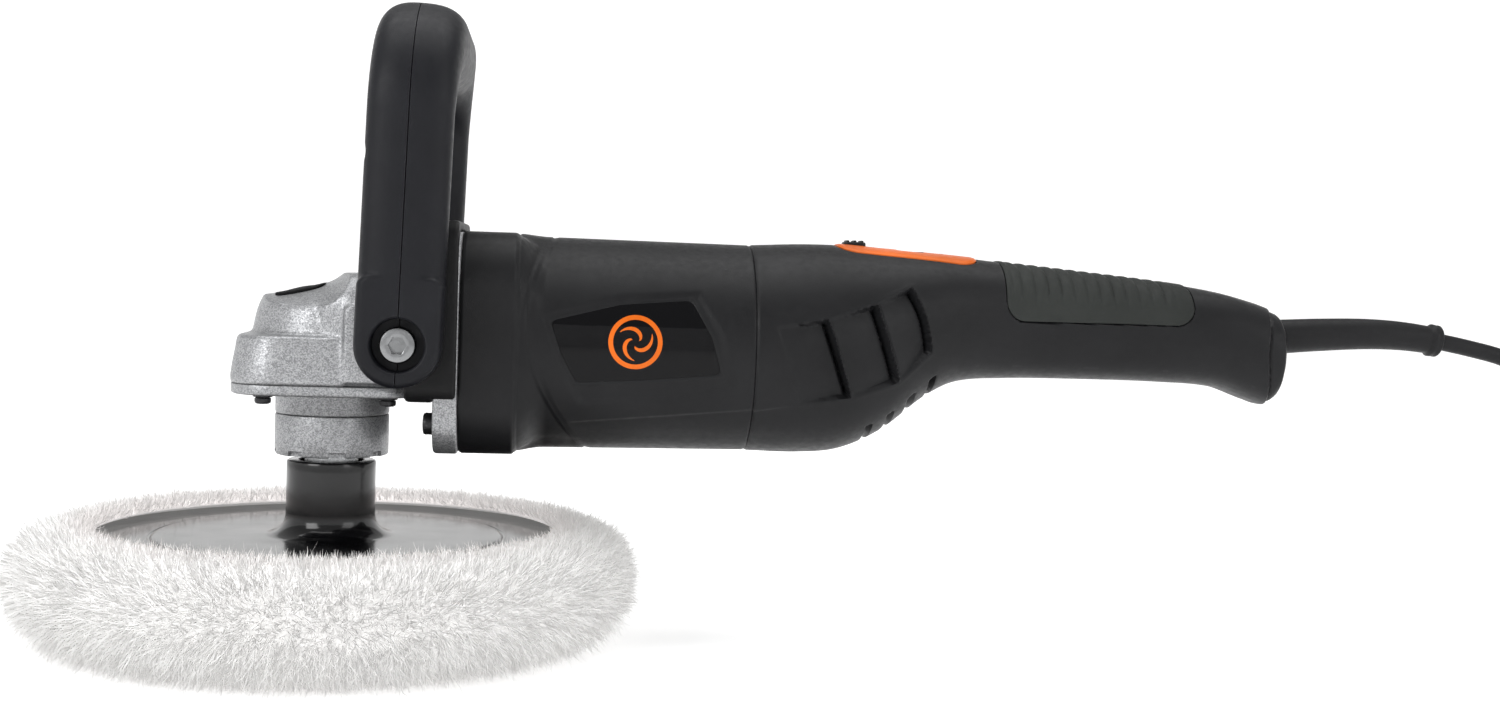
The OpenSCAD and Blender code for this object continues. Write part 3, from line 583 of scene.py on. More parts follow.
def coil_path(steps_per_turn=36):
    """Upper layer wound inwards, then the lower layer outwards to a quarter turn past the start."""
    points = []
    steps = int((2 * COIL_TURNS + 0.25) * steps_per_turn)
    for k in range(1, steps + 1):
        turn = k / steps_per_turn
        inward = min(turn, COIL_TURNS)
        outward_turns = min(max(turn - COIL_TURNS, 0), COIL_TURNS)
        radius = COIL_MID_OUT - CORD_D * (inward - outward_turns)
        drop = float(smooth_step(turn, COIL_TURNS - 0.12, COIL_TURNS + 0.12))
        a = 2 * math.pi * turn - math.pi / 2
        points.append((COIL_CENTRE[0] + radius * math.cos(a), COIL_CENTRE[1] + radius * math.sin(a),
                       CORD_D * 1.5 - CORD_D * drop))
    return np.array(points)


def sweep(name, path, radii, sides=24):
    """Closed round piece along a path, with a radius for each point."""
    path = np.asarray(path, float)
    ahead = np.gradient(path, axis=0)
    ahead /= np.linalg.norm(ahead, axis=1, keepdims=True)
    side = np.cross(ahead, (0.1, 1.0, 0.2))
    side /= np.linalg.norm(side, axis=1, keepdims=True)
    up = np.cross(ahead, side)
    angles = np.arange(sides) * 2 * math.pi / sides
    radii = np.broadcast_to(np.asarray(radii, float), len(path))[:, None, None]
    turn = np.cos(angles)[None, :, None] * side[:, None, :] + np.sin(angles)[None, :, None] * up[:, None, :]
    return loft(name, path[:, None, :] + radii * turn)


def build_plug():
    """Moulded two-blade plug with finger grooves and a ribbed neck."""
    x, y, z = PLUG
    rings = []
    for k in range(29):
        t = k / 28
        ease = 2.4 * (1 - math.sqrt(max(0.0, 1 - (1 - min(1, t * 8)) ** 2)))
        ease += 1.2 * (1 - math.sqrt(max(0.0, 1 - (1 - min(1, (1 - t) * 20)) ** 2)))
        waist = 0.9 * math.sin(math.pi * min(1, t * 1.15)) ** 2
        groove = 0.35 * (0.5 + 0.5 * math.cos(t * 2 * math.pi * 6)) if 0.2 < t < 0.8 else 0.0
        inset = ease + waist + groove
        outline = rounded_rectangle(24 - 2 * inset, 17.6 - 2 * inset, 5)
        rings.append(np.column_stack([x + outline[:, 0], np.full(len(outline), y + 18 + 27 * t),
                                      z + outline[:, 1]]))
    body = loft("plug_shell", rings)
    along = np.linspace(0, 19, 60)
    path = np.column_stack([np.full(60, x), y + along, np.full(60, z)])
    ribs = 0.35 * (0.5 + 0.5 * np.cos(along * 2 * math.pi / 3.2))
    neck = sweep("plug_neck", path, 4.3 + 1.6 * along / 19 - ribs)
    blades = []
    for s in (-1, 1):
        blade = slab("blade", 1.5, 6.4, 0.35, 0, 17, 0.05, 0.7)
        blades.append(placed(blade, (x + s * 6.35, y + 45, z), (0, 1, 0), (1, 0, 0)))
    blade_holes = [placed(turned("hole", [(0, -4), (1.3, -4), (1.3, 4), (0, 4)], steps=32),
                          (x + s * 6.35, y + 57.5, z), (1, 0, 0), (0, 1, 0)) for s in (-1, 1)]
    blade_pair = cut(joined("plug_pins", blades), *blade_holes)
    dress(body, "cord_rubber", replaces=["plug_body"])
    dress(neck, "cord_rubber")
    dress(blade_pair, "steel", replaces=["plug_blades"])
    return [body, neck, blade_pair]


def build_cord():
    lead = smooth_route(CORD_ROUTE, 4)
    tail = smooth_route(PLUG_ROUTE, 4)
    path = np.concatenate([lead, coil_path(), tail[1:]])
    data = bpy.data.curves.new("cord", "CURVE")
    data.dimensions = "3D"
    data.bevel_depth = CORD_D / 2 * MM
    data.bevel_resolution = 6
    data.use_fill_caps = True
    spline = data.splines.new("POLY")
    spline.points.add(len(path) - 1)
    spline.points.foreach_set("co", np.column_stack([path * MM, np.ones(len(path))]).ravel())
    spline.use_smooth = True
    cord = bpy.data.objects.new("cord", data)
    scene.collection.objects.link(cord)
    dress(cord, "cord_rubber", replaces=["cord_tube", "cord_coil"])
    build_plug()


def build_strain_relief():
    """Tapered sleeve that ends in a small collar round the cord."""
    path = smooth_route(RELIEF_ROUTE, 24)
    u = np.linspace(0, 1, len(path))
    radii = 6.5 - 1.5 * u + 0.5 * np.exp(-((u / 0.03) ** 2))
    collar = smooth_step(u, 0.905, 0.915) - smooth_step(u, 0.985, 0.998)
    radii = radii + collar * 0.95 - 0.25 * np.exp(-(((u - 0.95) / 0.006) ** 2))
    sleeve = sweep("relief_sleeve", path, radii, 40)
    dress(sleeve, "cord_rubber", replaces=["strain_relief"])


# ---------- gear head ----------

SADDLE = np.array([(-40, 118.3), (-23.7, 120.3), (-19.4, 121.0), (-15, 121.8), (-11, 122.6), (-7, 123.6),
                   (-2.6, 124.9), (0.4, 126.3), (3, 128.3), (5.4, 130.6), (7.8, 133.6), (12, 140.0)])
SADDLE_FALL = 90.0


def lock_place(distance):
    """A place on the spindle lock's axis, at a distance from the spindle's axis."""
    return (distance * LOCK_DIRECTION[0], distance * LOCK_DIRECTION[1], LOCK_Z)


def saddle_height(x, y):
    """Top of the dome: it rises in a scoop towards the rear block and falls away to both sides."""
    return np.interp(x, SADDLE[:, 0], SADDLE[:, 1]) - np.asarray(y) ** 2 / SADDLE_FALL


def saddle_cutter():
    """Everything above the saddle in front of the rear block."""
    across = np.linspace(-40, 40, 41)
    rings = []
    for x in np.linspace(-40, 11, 52):
        low = np.column_stack([np.full(len(across), x), across, saddle_height(x, across)])
        high = np.column_stack([np.full(len(across), x), across[::-1], np.full(len(across), 150.0)])
        rings.append(np.concatenate([low, high]))
    return loft("saddle", rings)


def build_gear_case():
    """Die-cast head: a tapered lower block, a dome with a saddle-shaped top, and the rear block."""
    lower = []
    for z, half in ((90.3, 32.4), (92.5, 32.6), (97, 32.1), (102, 31.3), (105.8, 30.8), (106.6, 30.3),
                    (107.0, 29.2)):
        outline = rounded_rectangle(2 * half, 2 * half, 16, 12)
        lower.append(np.column_stack([outline, np.full(len(outline), z)]))
    pieces = [loft("lower", lower)]
    pieces.append(turned("dome", [(0, 106), (28.4, 106), (28.0, 107.4), (27.7, 108.5), (27.2, 111.5),
                                  (26.4, 115), (25.3, 118), (24.3, 120), (22.5, 123), (19, 127), (0, 129)]))
    block = []
    for x, top, half in ((-4, 127.0, 24), (-1, 128.4, 27.5), (3, 128.6, 29.4), (8, 128.6, 30.6),
                         (13, 128.7, 31), (18, 128.8, 31), (38, 128.8, 31)):
        outline = rounded_rectangle(2 * half, top - 92, 12, 12)
        block.append(np.column_stack([np.full(len(outline), x), outline[:, 0],
                                      outline[:, 1] + (top + 92) / 2]))
    pieces.append(loft("block", block))
    flange = slab("flange", 76, 76, 12, 0, 8.4, 0.9, 0.4)
    pieces.append(on_motor_axis(flange, FLANGE_FRONT))
    for side in (-1, 1):
        pad = slab("pad", 20.7, 26.5, 2.4, 0, 5, 0.3, 0.8)
        pieces.append(placed(pad, (17.15, side * 28, 104.75), (0, side, 0), (1, 0, 0)))
        boss = turned("boss", [(0, 0), (BOLT_BOSS_R, 0), (BOLT_BOSS_R, 12.2), (BOLT_BOSS_R - 0.5, 12.9),
                               (0, 12.9)])
        pieces.append(placed(boss, (BOLT[0], side * 28, AXIS_Z), (0, side, 0), (1, 0, 0)))
    lock = turned("lock_boss", [(0, 0), (6.5, 0), (6.5, 9.2), (5.9, 10), (0, 10)])
    pieces.append(placed(lock, lock_place(28), LOCK_DIRECTION))
    case = remeshed(joined("gear_head", pieces), 0.65)

    cutters = [saddle_cutter()]
    cutters.append(turned("well", [(0, 80), (26.4, 80), (26.4, 102), (20, 103), (20, 112), (0, 112)]))
    bore = turned("bore", [(0, 0), (11, 0), (11, 31), (15.1, 31.2), (15.1, 60), (0, 60)])
    cutters.append(on_motor_axis(bore, 0))
    for side in (-1, 1):
        hole = turned("hole", [(0, 0), (4.1, 0), (4.1, 30), (0, 30)])
        cutters.append(placed(hole, (BOLT[0], side * 27, AXIS_Z), (0, side, 0), (1, 0, 0)))
        gap = slab("gap", 27, 1.3, 0.5, 0, 14, 0.1, 0.1)
        cutters.append(placed(gap, (20.5, side * 30.6, 90.9), (0, side, 0), (1, 0, 0)))
    lock_hole = turned("lock_hole", [(0, 0), (4.5, 0), (4.5, 12), (0, 12)])
    cutters.append(placed(lock_hole, lock_place(30), LOCK_DIRECTION))
    cut(case, *cutters)
    remeshed(case, 0.62, 1)
    dress(case, "silver_cast", replaces=["gear_case"])


def build_head_badge():
    """Thin matte black badge that lies on the dome's saddle."""
    sections = [(0.0, -0.5), (0.0, 0.45), (0.2, 0.7)] + [(inset, 0.8) for inset in (0.6, 2.0, 4.0, 6.0, 8.0)]
    rows = []
    for inset, height in sections:
        outline = rounded_rectangle(17 - 2 * inset, 22.6 - 2 * inset, max(3.5 - inset, 0.1), 8)
        x = outline[:, 0] - 11.0
        y = outline[:, 1]
        rows.append(np.column_stack([x, y, saddle_height(x, y) + height]))
    badge = loft("top_badge", rows)
    dress(badge, "badge_black", replaces=["head_badge"])


def build_bearing_plate():
    """Round neck that spreads into the square plate under the gear case."""
    rings = []
    for radius, z in ((18.9, 79.0), (19.45, 79.15), (19.7, 79.6), (19.7, 85.4), (20.1, 86.2), (21.2, 86.7)):
        outline = rounded_rectangle(2 * radius, 2 * radius, radius - 0.01, 12)
        rings.append(np.column_stack([outline, np.full(len(outline), z)]))
    for inset, z in ((0.9, 86.7), (0.3, 86.95), (0, 87.5), (0, 89.95), (0.1, 90.15), (0.4, 90.25)):
        outline = rounded_rectangle(64.8 - 2 * inset, 64 - 2 * inset, 16 - inset, 12)
        rings.append(np.column_stack([outline, np.full(len(outline), z)]))
    plate = loft("bearing_flange", rings)
    cut(plate, turned("bore", [(0, 70), (17.6, 70), (17.6, 86.1), (14, 86.1), (14, 95), (0, 95)]))
    shade_by_angle(plate, 35)
    dress(plate, "silver_cast", replaces=["bearing_plate"])


def shade_by_angle(obj, degrees):
    """Smooth shading that stays sharp at edges steeper than this."""
    limit = math.radians(degrees)
    work = bmesh.new()
    work.from_mesh(obj.data)
    for edge in work.edges:
        edge.smooth = len(edge.link_faces) == 2 and edge.calc_face_angle(0.0) < limit
    for face in work.faces:
        face.smooth = True
    work.to_mesh(obj.data)
    work.free()
    obj.data.update()
    return obj


def build_neck_collar():
    """Ring that holds the lower bearing, with notches for a pin spanner."""
    profile = [(11, 65.0), (11.4, 64.6), (18.9, 64.6), (19.5, 64.8), (19.7, 65.3), (19.7, 78.2)]
    profile += [(19.55, 78.7), (19.1, 78.95), (17.6, 78.95), (17.6, 75), (13.1, 74), (13.1, 70), (11, 70)]
    collar = turned("collar", profile, ring_shape=True)
    cutters = []
    for k in range(8):
        a = math.radians(45 * k + 12)
        notch = slab("notch", 6, 6, 0.8, 62, 66.6, 0.1, 0.5)
        cutters.append(placed(notch, (20.6 * math.cos(a), 20.6 * math.sin(a), 0), (0, 0, 1),
                              (math.cos(a), math.sin(a), 0)))
    cut(collar, *cutters)
    shade_by_angle(collar, 35)
    dress(collar, "silver_cast", replaces=["neck_collar"])


def cap_screw(name, head_r, head_h, hex_r, shank_r, shank_h, washer=0.0):
    """Screw along +Z whose head's seat is at zero, with a hexagon socket."""
    socket = head_h * 0.6
    profile = [(0, -head_h + socket), (hex_r, -head_h + socket), (hex_r, -head_h + 0.15)]
    profile += [(hex_r + 0.15, -head_h), (head_r * 0.72, -head_h), (head_r * 0.92, -head_h + 0.3)]
    profile += [(head_r, -head_h * 0.72), (head_r * 0.98, -head_h * 0.45)]
    if washer:
        profile += [(head_r * 0.8, -washer - 0.25), (head_r * 1.16, -washer)]
        profile += [(head_r * 1.2, -washer * 0.5), (head_r * 1.14, 0)]
    else:
        profile += [(head_r, 0)]
    profile += [(shank_r, 0), (shank_r, shank_h), (0, shank_h)]
    return shade_by_angle(turned(name, profile, steps=48, hexes=(1, 2)), 40)


def build_head_screws():
    screws = []
    for x in (-21, 21):
        for y in (-21, 21):
            screw = cap_screw("screw", 2.8, 3.4, 1.3, 1.6, 10, washer=1.0)
            screws.append(placed(screw, (x, y, 86.7)))
    dress(shade_by_angle(joined("head_screws", screws), 40), "black_screw", replaces=["plate_screws"])
    screws = []
    for y, z in FLANGE_SCREWS:
        screws.append(on_motor_axis(cap_screw("screw", 3.8, 3.5, 2.0, 2.0, 22), FLANGE_FRONT, y, z))
    dress(shade_by_angle(joined("motor_screws", screws), 40), "black_screw", replaces=["flange_screws"])


def build_gear_shroud():
    """Black guard round the top and sides of the flange, behind the handle."""
    body = slab("guard", 81, 61.6, 6, 0, 17.3, 1.6, 0.8)
    placed(body, (27.5, 0, 116.8), (1, 0, 0), (0, 1, 0))
    block = slab("block", 62.4, 60, 10, 0, 20, 0.1, 0.1)
    placed(block, (20, 0, 99), (1, 0, 0), (0, 1, 0))
    plate = on_motor_axis(slab("plate", 76.2, 76.2, 12, 0, 20, 0.1, 0.1), 36.9)
    cutters = [block, plate]
    for side in (-1, 1):
        notch = turned("notch", [(0, 0), (12.5, 0), (12.5, 16), (0, 16)])
        cutters.append(placed(notch, (BOLT[0], side * 30, AXIS_Z), (0, side, 0), (1, 0, 0)))
        seat = turned("seat", [(0, 0), (4.4, 0), (4.4, 5), (0, 5)])
        cutters.append(on_motor_axis(seat, 33, side * 27.5, 27.7))
    cut(body, *cutters)
    remeshed(body, 0.6, 2)
    body.name = "head_guard"
    dress(body, "dark_plastic", replaces=["gear_shroud"])


def build_lock_button():
    """Spindle lock on the far side: a pin with a round cap."""
    button = turned("lock_cap", [(0, 27.6), (1.8, 27.6), (2.2, 28.0), (2.2, 36), (4.1, 36), (4.4, 36.3),
                                 (4.4, 39.9), (4.1, 40.4), (3.6, 40.6), (2.6, 40.4), (0, 40.2)], steps=64)
    placed(button, lock_place(0), LOCK_DIRECTION)
    shade_by_angle(button, 40)
    dress(button, "dark_plastic", "spindle_lock", replaces=["lock_button"])


# ---------- spindle, plate and pad ----------

def build_spindle():
    """Stepped shaft with two spanner flats above the hub."""
    shaft = turned("drive_spindle", [(0, 38), (6.4, 38), (7, 38.6), (7, 58), (9.25, 58), (9.25, 74.9),
                                     (7.5, 75), (7.5, 91), (7, 91.2), (7, 100.3), (5, 100.4), (5, 120),
                                     (4.6, 120.5), (0, 120.5)])
    flats = [slab("flat", 10, 30, 0.4, 62.4, 67, 0.2, 0.2) for _ in range(2)]
    for s, flat in zip((-1, 1), flats):
        placed(flat, (s * 13, 0, 0))
    cut(shaft, *flats)
    shade_by_angle(shaft, 35)
    dress(shaft, "steel", "spindle", replaces=["spindle"])


def build_backing_plate():
    """Gloss plate and flared hub: one turned piece with a fine groove near its edge."""
    flare = [(15.5 + 7.6 * (1 - math.sin(a)) ** 1.25, 36 + 8 * (1 - math.cos(a)) ** 0.9)
             for a in np.linspace(0, math.pi / 2, 12)]
    profile = [(0, 30), (88, 30), (88.8, 30.5), (89, 31.2), (89, 33.4), (88.6, 34.2), (87.4, 34.8)]
    profile += [(64, 35.35), (61.9, 35.4), (61.5, 35.1), (60.9, 35.1), (60.6, 35.5), (60.2, 35.9)]
    profile += [(59.4, 36.0), (50, 36.0), (36, 36.02)] + flare
    profile += [(15.5, 58.5), (15.5, 61.6), (15.3, 62.15), (14.8, 62.4), (11.6, 62.4), (11.2, 62.0),
                (11.2, 58), (10, 57.9), (10, 33), (0, 33)]
    plate = turned("pad_plate", profile, steps=192)
    shade_by_angle(plate, 38)
    dress(plate, "black_gloss", "spindle", replaces=["backing_plate"])


def build_foam():
    profile = [(0, 20.1), (86.8, 20.1), (87.8, 20.8), (88, 22), (88, 28), (87.7, 29.2), (86.8, 29.9)]
    profile.append((0, 29.9))
    foam = turned("foam_disc", profile, steps=144)
    dress(foam, "foam", "spindle", replaces=["foam_pad"])


WOOL_PROFILE = [(0, 3.2), (60, 3.2), (78, 3.6), (87, 5.6), (94, 9.4), (99.6, 14), (102, 19), (101.8, 25),
                (99.6, 30.4), (96, 34.8), (91.5, 37.6), (87, 38.9), (84, 38.8), (81.6, 37.9), (80.4, 36.8),
                (80.6, 36.35), (89.4, 36.35), (89.4, 19.95), (0, 19.95)]
PILE_ROWS = 15  # leading rows of the profile, which carry the pile
STRANDS, TUFTS, PILE_PIECES = 180000, 13000, 6
STRAND_LENGTH = 5.6


def wool_surface():
    """Finely sampled rows that carry the pile: radius, height, and the outward direction."""
    line = np.array(WOOL_PROFILE[:PILE_ROWS], float)
    steps = np.linalg.norm(np.diff(line, axis=0), axis=1)
    along = np.concatenate([[0], np.cumsum(steps)])
    fine = np.linspace(0, along[-1], 400)
    r = np.interp(fine, along, line[:, 0])
    z = np.interp(fine, along, line[:, 1])
    kernel = np.ones(9) / 9
    r[4:-4] = np.convolve(r, kernel, "valid")
    z[4:-4] = np.convolve(z, kernel, "valid")
    dr, dz = np.gradient(r), np.gradient(z)
    size = np.hypot(dr, dz)
    return r, z, dz / size, -dr / size


def build_wool():
    """Bonnet: a closed skin over the foam, and the pile that stands on it."""
    skin = turned("bonnet_skin", WOOL_PROFILE, steps=360)
    subdivide = skin.modifiers.new("fine", "SUBSURF")
    subdivide.subdivision_type = "SIMPLE"
    subdivide.levels = 1
    applied(skin)
    dress(finish_mesh(skin), "wool", "spindle", replaces=["wool_bonnet"])
    build_pile()


def build_pile():
    """Wool pile: fine tapered strands that gather into tufts, in pieces of their own."""
    r, z, nr, nz = wool_surface()
    weight = r * np.where(z < 4.0, 0.3, 1.0)
    chance = np.cumsum(weight) / weight.sum()
    reach = 1.0 - 0.5 * smooth_step(z, 31.0, 38.0)
    count = STRANDS

    def scatter(n):
        low = np.interp(rng.rand(n), chance, np.arange(len(r))).astype(int)
        a = rng.rand(n) * 2 * math.pi
        cos, sin = np.cos(a), np.sin(a)
        root = np.stack([r[low] * cos, r[low] * sin, z[low]], -1)
        normal = np.stack([nr[low] * cos, nr[low] * sin, nz[low]], -1)
        return root, normal, reach[low][:, None]

    tuft_root, tuft_normal, tuft_reach = scatter(TUFTS)
    tuft_lean = tuft_normal * 5.8 + rng.normal(0, 2.3, (TUFTS, 3)) + (0, 0, 0.4)
    tuft_tip = tuft_root + tuft_lean * tuft_reach * rng.uniform(0.75, 1.15, (TUFTS, 1))
    tree = kdtree.KDTree(TUFTS)
    for i, point in enumerate(tuft_root):
        tree.insert(point, i)
    tree.balance()

    root, normal, length = scatter(count)
    near = np.array([tree.find(p)[1] for p in root])
    stray = np.where(rng.rand(count, 1) < 0.04, 1.35, 1.0)
    lean = normal * rng.normal(STRAND_LENGTH, 1.5, (count, 1)) + rng.normal(0, 2.6, (count, 3))
    own_tip = root + length * stray * lean
    gather = rng.uniform(0.1, 0.6, (count, 1)) / stray**2
    tip = own_tip * (1 - gather) + tuft_tip[near] * gather
    middle = (root + tip) / 2 + normal * rng.uniform(-0.3, 1.2, (count, 1)) * length
    middle += rng.normal(0, 1.2, (count, 3)) * length
    root = root - normal * 0.6
    rows = [(1 - t) ** 2 * root + 2 * t * (1 - t) * middle + t**2 * tip for t in (0.0, 0.35, 0.7, 1.0)]
    across = np.cross(tip - root, rng.normal(0, 1, (count, 3)))
    across /= np.linalg.norm(across, axis=1, keepdims=True)
    points = []
    for row, width in zip(rows, (0.11, 0.1, 0.07, 0.02)):
        points += [row - across * width, row + across * width]
    points = np.stack(points, 1)
    points[:, :, 2] = np.maximum(points[:, :, 2], 0.25)
    shading = normal + 0.25 * (tip - root) / np.linalg.norm(tip - root, axis=1, keepdims=True)
    shading /= np.linalg.norm(shading, axis=1, keepdims=True)
    for k in range(PILE_PIECES):
        pick = slice(k * count // PILE_PIECES, (k + 1) * count // PILE_PIECES)
        add_strands(f"pile_{k + 1}", points[pick], shading[pick])


def add_strands(name, points, shading):
    """Strands of eight points each, as three quads in a row."""
    base = np.arange(len(points))[:, None, None] * 8
    quads = base + np.array([[0, 1, 3, 2], [2, 3, 5, 4], [4, 5, 7, 6]])[None]
    mesh = bpy.data.meshes.new(name)
    mesh.from_pydata((points.reshape(-1, 3) * MM).tolist(), [], quads.reshape(-1, 4).tolist())
    mesh.polygons.foreach_set("use_smooth", [True] * len(mesh.polygons))
    mesh.normals_split_custom_set_from_vertices(np.repeat(shading, 8, axis=0).tolist())
    obj = bpy.data.objects.new(name, mesh)
    scene.collection.objects.link(obj)
    dress(obj, "wool", "spindle")


# ---------- motor housing ----------

# Corners along X and Z of the side label and of the shallow pocket round it
LABEL = [(75.9, 114.8), (99.5, 120.9), (123.6, 122.9), (130.6, 110.5), (134.1, 98.0), (110, 95.6),
         (84.9, 94.0), (79.6, 104.0)]
POCKET = [(73.4, 116.6), (99, 123.4), (126.2, 125.6), (134.6, 111.5), (139.0, 94.5), (122, 88.6),
          (86.4, 86.6), (78.0, 100.0)]
LABEL_CENTRE = np.array([104.6, 108.4])
HOUSING_FRONT_R, HOUSING_REAR_R, HOUSING_BORE_R = 37.6, 36.9, 34.3


def housing_radius(x):
    along = (x - COLLAR_REAR) / (SEAM_X - COLLAR_REAR)
    return HOUSING_FRONT_R + (HOUSING_REAR_R - HOUSING_FRONT_R) * along


def square_radius(a, half, corner):
    """Distance from the axis to a rounded square, in direction a."""
    c = np.abs(np.cos(a))
    s = np.abs(np.sin(a))
    flat = half / np.maximum(c, s)
    centre = half - corner
    along = centre * (c + s)
    curve = along + np.sqrt(np.maximum(along**2 - 2 * centre**2 + corner**2, 0))
    on_corner = (flat * np.minimum(c, s)) > centre
    return np.where(on_corner, curve, flat)


def motor_surface(x, a):
    """Points of the motor housing's skin and their depth, for places x along the axis and angles a."""
    radius = housing_radius(np.maximum(x, COLLAR_REAR))
    square = square_radius(a, 38.4, 20.0)
    blend = 1 - smooth_step(x, 63.0, 75.0)
    radius = radius * (1 - blend) + square * blend
    y = radius * np.cos(a)
    z = AXIS_Z + radius * np.sin(a)
    depth = 0.55 * np.exp(-(((x - COLLAR_REAR) / 0.45) ** 2))
    edge = 68.3 + 0.0095 * (z - 115.0) ** 2
    flank = smooth_step(np.abs(y), 8.0, 17.0)
    depth += flank * smooth_step(x, COLLAR_REAR, COLLAR_REAR + 1.2) * (1 - smooth_step(x - edge, -1.6, 0.4))
    depth += 0.35 * smooth_step(x - edge, 2.5, 0.2) * smooth_step(x - edge, -0.4, 0.2)
    side = np.abs(y) > 18
    pocket = outline_depth(x, z, POCKET)
    depth += side * 0.75 * smooth_step(pocket, -1.2, 2.2)
    label = outline_depth(x, z, LABEL)
    depth -= side * 0.32 * np.exp(-(((label + 0.7) / 0.55) ** 2))
    depth += side * 0.25 * smooth_step(label, -0.25, 0.1)
    crease_z = 79.4 + (x - 78) * 0.096
    below = smooth_step(crease_z - z, -0.4, 0.9) * smooth_step(x - edge, 1.0, 5.0)
    depth += 0.5 * below * smooth_step(z, 70.0, 76.0)
    depth += 0.35 * np.exp(-(((x - 99.1) ** 2 + (np.abs(y) - 22.4) ** 2) / 1.2)) * (z > 120)
    depth += 0.45 * smooth_step(x, SEAM_X - 0.9, SEAM_X)
    depth += 0.6 * (1 - smooth_step(x, FLANGE_REAR, FLANGE_REAR + 1.0))
    return np.stack([x, y, z], -1), depth


def build_motor_housing():
    """Barrel with its square collar, and the seat of the rear bearing inside it."""
    rows, cols = 4 * 50 + 1, 4 * 104
    xs = np.linspace(FLANGE_REAR, SEAM_X, rows)
    angles = np.arange(cols) * 2 * math.pi / cols
    x, a = np.meshgrid(xs, angles, indexing="ij")
    points, depth = motor_surface(x, a)
    centre = np.stack([x, np.zeros_like(x), np.full_like(x, AXIS_Z)], -1)
    normal = outward(points, centre, wrap=True)
    outer = points - normal * depth[..., None]
    xi, ai = x[::4, ::4], a[::4, ::4]
    inner = np.stack([xi, HOUSING_BORE_R * np.cos(ai), AXIS_Z + HOUSING_BORE_R * np.sin(ai)], -1)
    housing = shell("motor_shell", outer, inner, wrap=True)
    seat = [(7, 141.6), (13.5, 141.6), (13.5, 152.2), (11.1, 152.2), (11.1, 145), (7, 145)]
    web = on_motor_axis(turned("bearing_seat", seat, ring_shape=True, steps=72), 0)
    dress(housing, "housing_black", replaces=["motor_housing"])
    dress(shade_by_angle(web, 40), "housing_black")


def label_skin(name, lift, thick):
    """Curved sheet that follows the near side of the housing."""
    xs = np.linspace(70, 140, 141)
    angles = np.radians(np.linspace(150, 212, 125))
    x, a = np.meshgrid(xs, angles, indexing="ij")
    low = housing_radius(x) - 0.95 + lift
    outer, inner = [np.stack([x, r * np.cos(a), AXIS_Z + r * np.sin(a)], -1) for r in (low + thick, low)]
    return shell(name, outer, inner[::4, ::4])


def mirrored(obj, name):
    copy = bpy.data.objects.new(name, obj.data.copy())
    copy.data.transform(Matrix.Diagonal((1.0, -1.0, 1.0, 1.0)))
    scene.collection.objects.link(copy)
    return finish_mesh(copy)


def swirl_cutter():
    """A ring and three curved blades, carried through the near label."""
    ring = turned("ring", [(7.6, 0), (9.2, 0), (9.2, 30), (7.6, 30)], ring_shape=True, steps=96)
    parts = [placed(ring, (LABEL_CENTRE[0], -48, LABEL_CENTRE[1]), (0, 1, 0), (1, 0, 0))]
    for start in np.radians((20, 140, 260)):
        outer_line = []
        inner_line = []
        for t in np.linspace(0, 1, 16):
            angle = start + t * math.radians(128)
            reach = 1.6 + 4.7 * t
            width = 1.55 * math.sin(math.pi * (0.12 + 0.86 * t)) ** 0.8
            direction = np.array([math.cos(angle), math.sin(angle)])
            outer_line.append(LABEL_CENTRE + direction * (reach + width * 0.5))
            inner_line.append(LABEL_CENTRE + direction * (reach - width * 0.5))
        parts.append(side_prism("blade", np.array(outer_line + inner_line[::-1]), -48, -18))
    return joined("mark_cutter", parts)


def build_labels():
    """Gloss label on each side with a plain orange swirl."""
    outline = side_prism("outline", rounded_outline(LABEL, 2.2), -45, -20)
    label = shade_by_angle(common(label_skin("label_near", 0.0, 0.42), outline), 30)
    mark = shade_by_angle(common(label_skin("mark_near", 0.36, 0.14), swirl_cutter()), 30)
    dress(label, "label_gloss", replaces=["side_labels"])
    dress(mark, "mark_orange")
    dress(shade_by_angle(mirrored(label, "label_far"), 30), "label_gloss")
    dress(shade_by_angle(mirrored(mark, "mark_far"), 30), "mark_orange")


# ---------- tail grip ----------

# Along the tail: X, lowest Z, highest Z and half width
TAIL_STATIONS = np.array([
    (146.2, 69, 143, 37), (165, 68.8, 144, 36.6), (180, 70.5, 144, 35.4), (195, 77.5, 143, 32.6),
    (210, 89.5, 142, 28.2), (222, 95.6, 141.2, 24.6), (240, 97.4, 139.6, 21.6), (270, 97.8, 137, 20),
    (300, 97.5, 134.2, 19.6), (320, 96.2, 131.4, 20), (334, 91.6, 128, 20), (340, 90.2, 126, 19.4),
    (344, 93.2, 124.6, 18.2),
])
TAIL_WALL = 3.2
TAIL_END, TAIL_INNER_END = 344.0, 338.0
CORD_Z, CORD_HOLE_R = 115.2, 6.65
GRIP = (237.0, 307.0, 119.0, 7.0)  # first X, last X, lower edge and corner radius of the rubber
RIB_FIRST, RIB_LAST, RIB_PITCH = 238.5, 301.5, 4.85
BEZEL = (203.0, 51.0, 27.6, 8.0)  # centre X, length, width and corner radius of the control panel
SPEED_KEYS = {"up": (215, 142.2), "down": (222, 141.6)}  # X and height of each key's top
KEY_HOLE_R, BOARD_TOP = 3.05, 131.4
WINDOW_X = 204.5
TAIL_SCREWS = ((158, 82, 22), (158, 130, 22), (240, 106, 15), (326, 105, 14))  # X, Z and depth of each seat
VENTS = (188.5, 196.0, 203.5, 211.0)
LOUVRE_ENDS = (0.0, 18.6, 37.9, 53.3)  # where the panels start and end along the louvre field


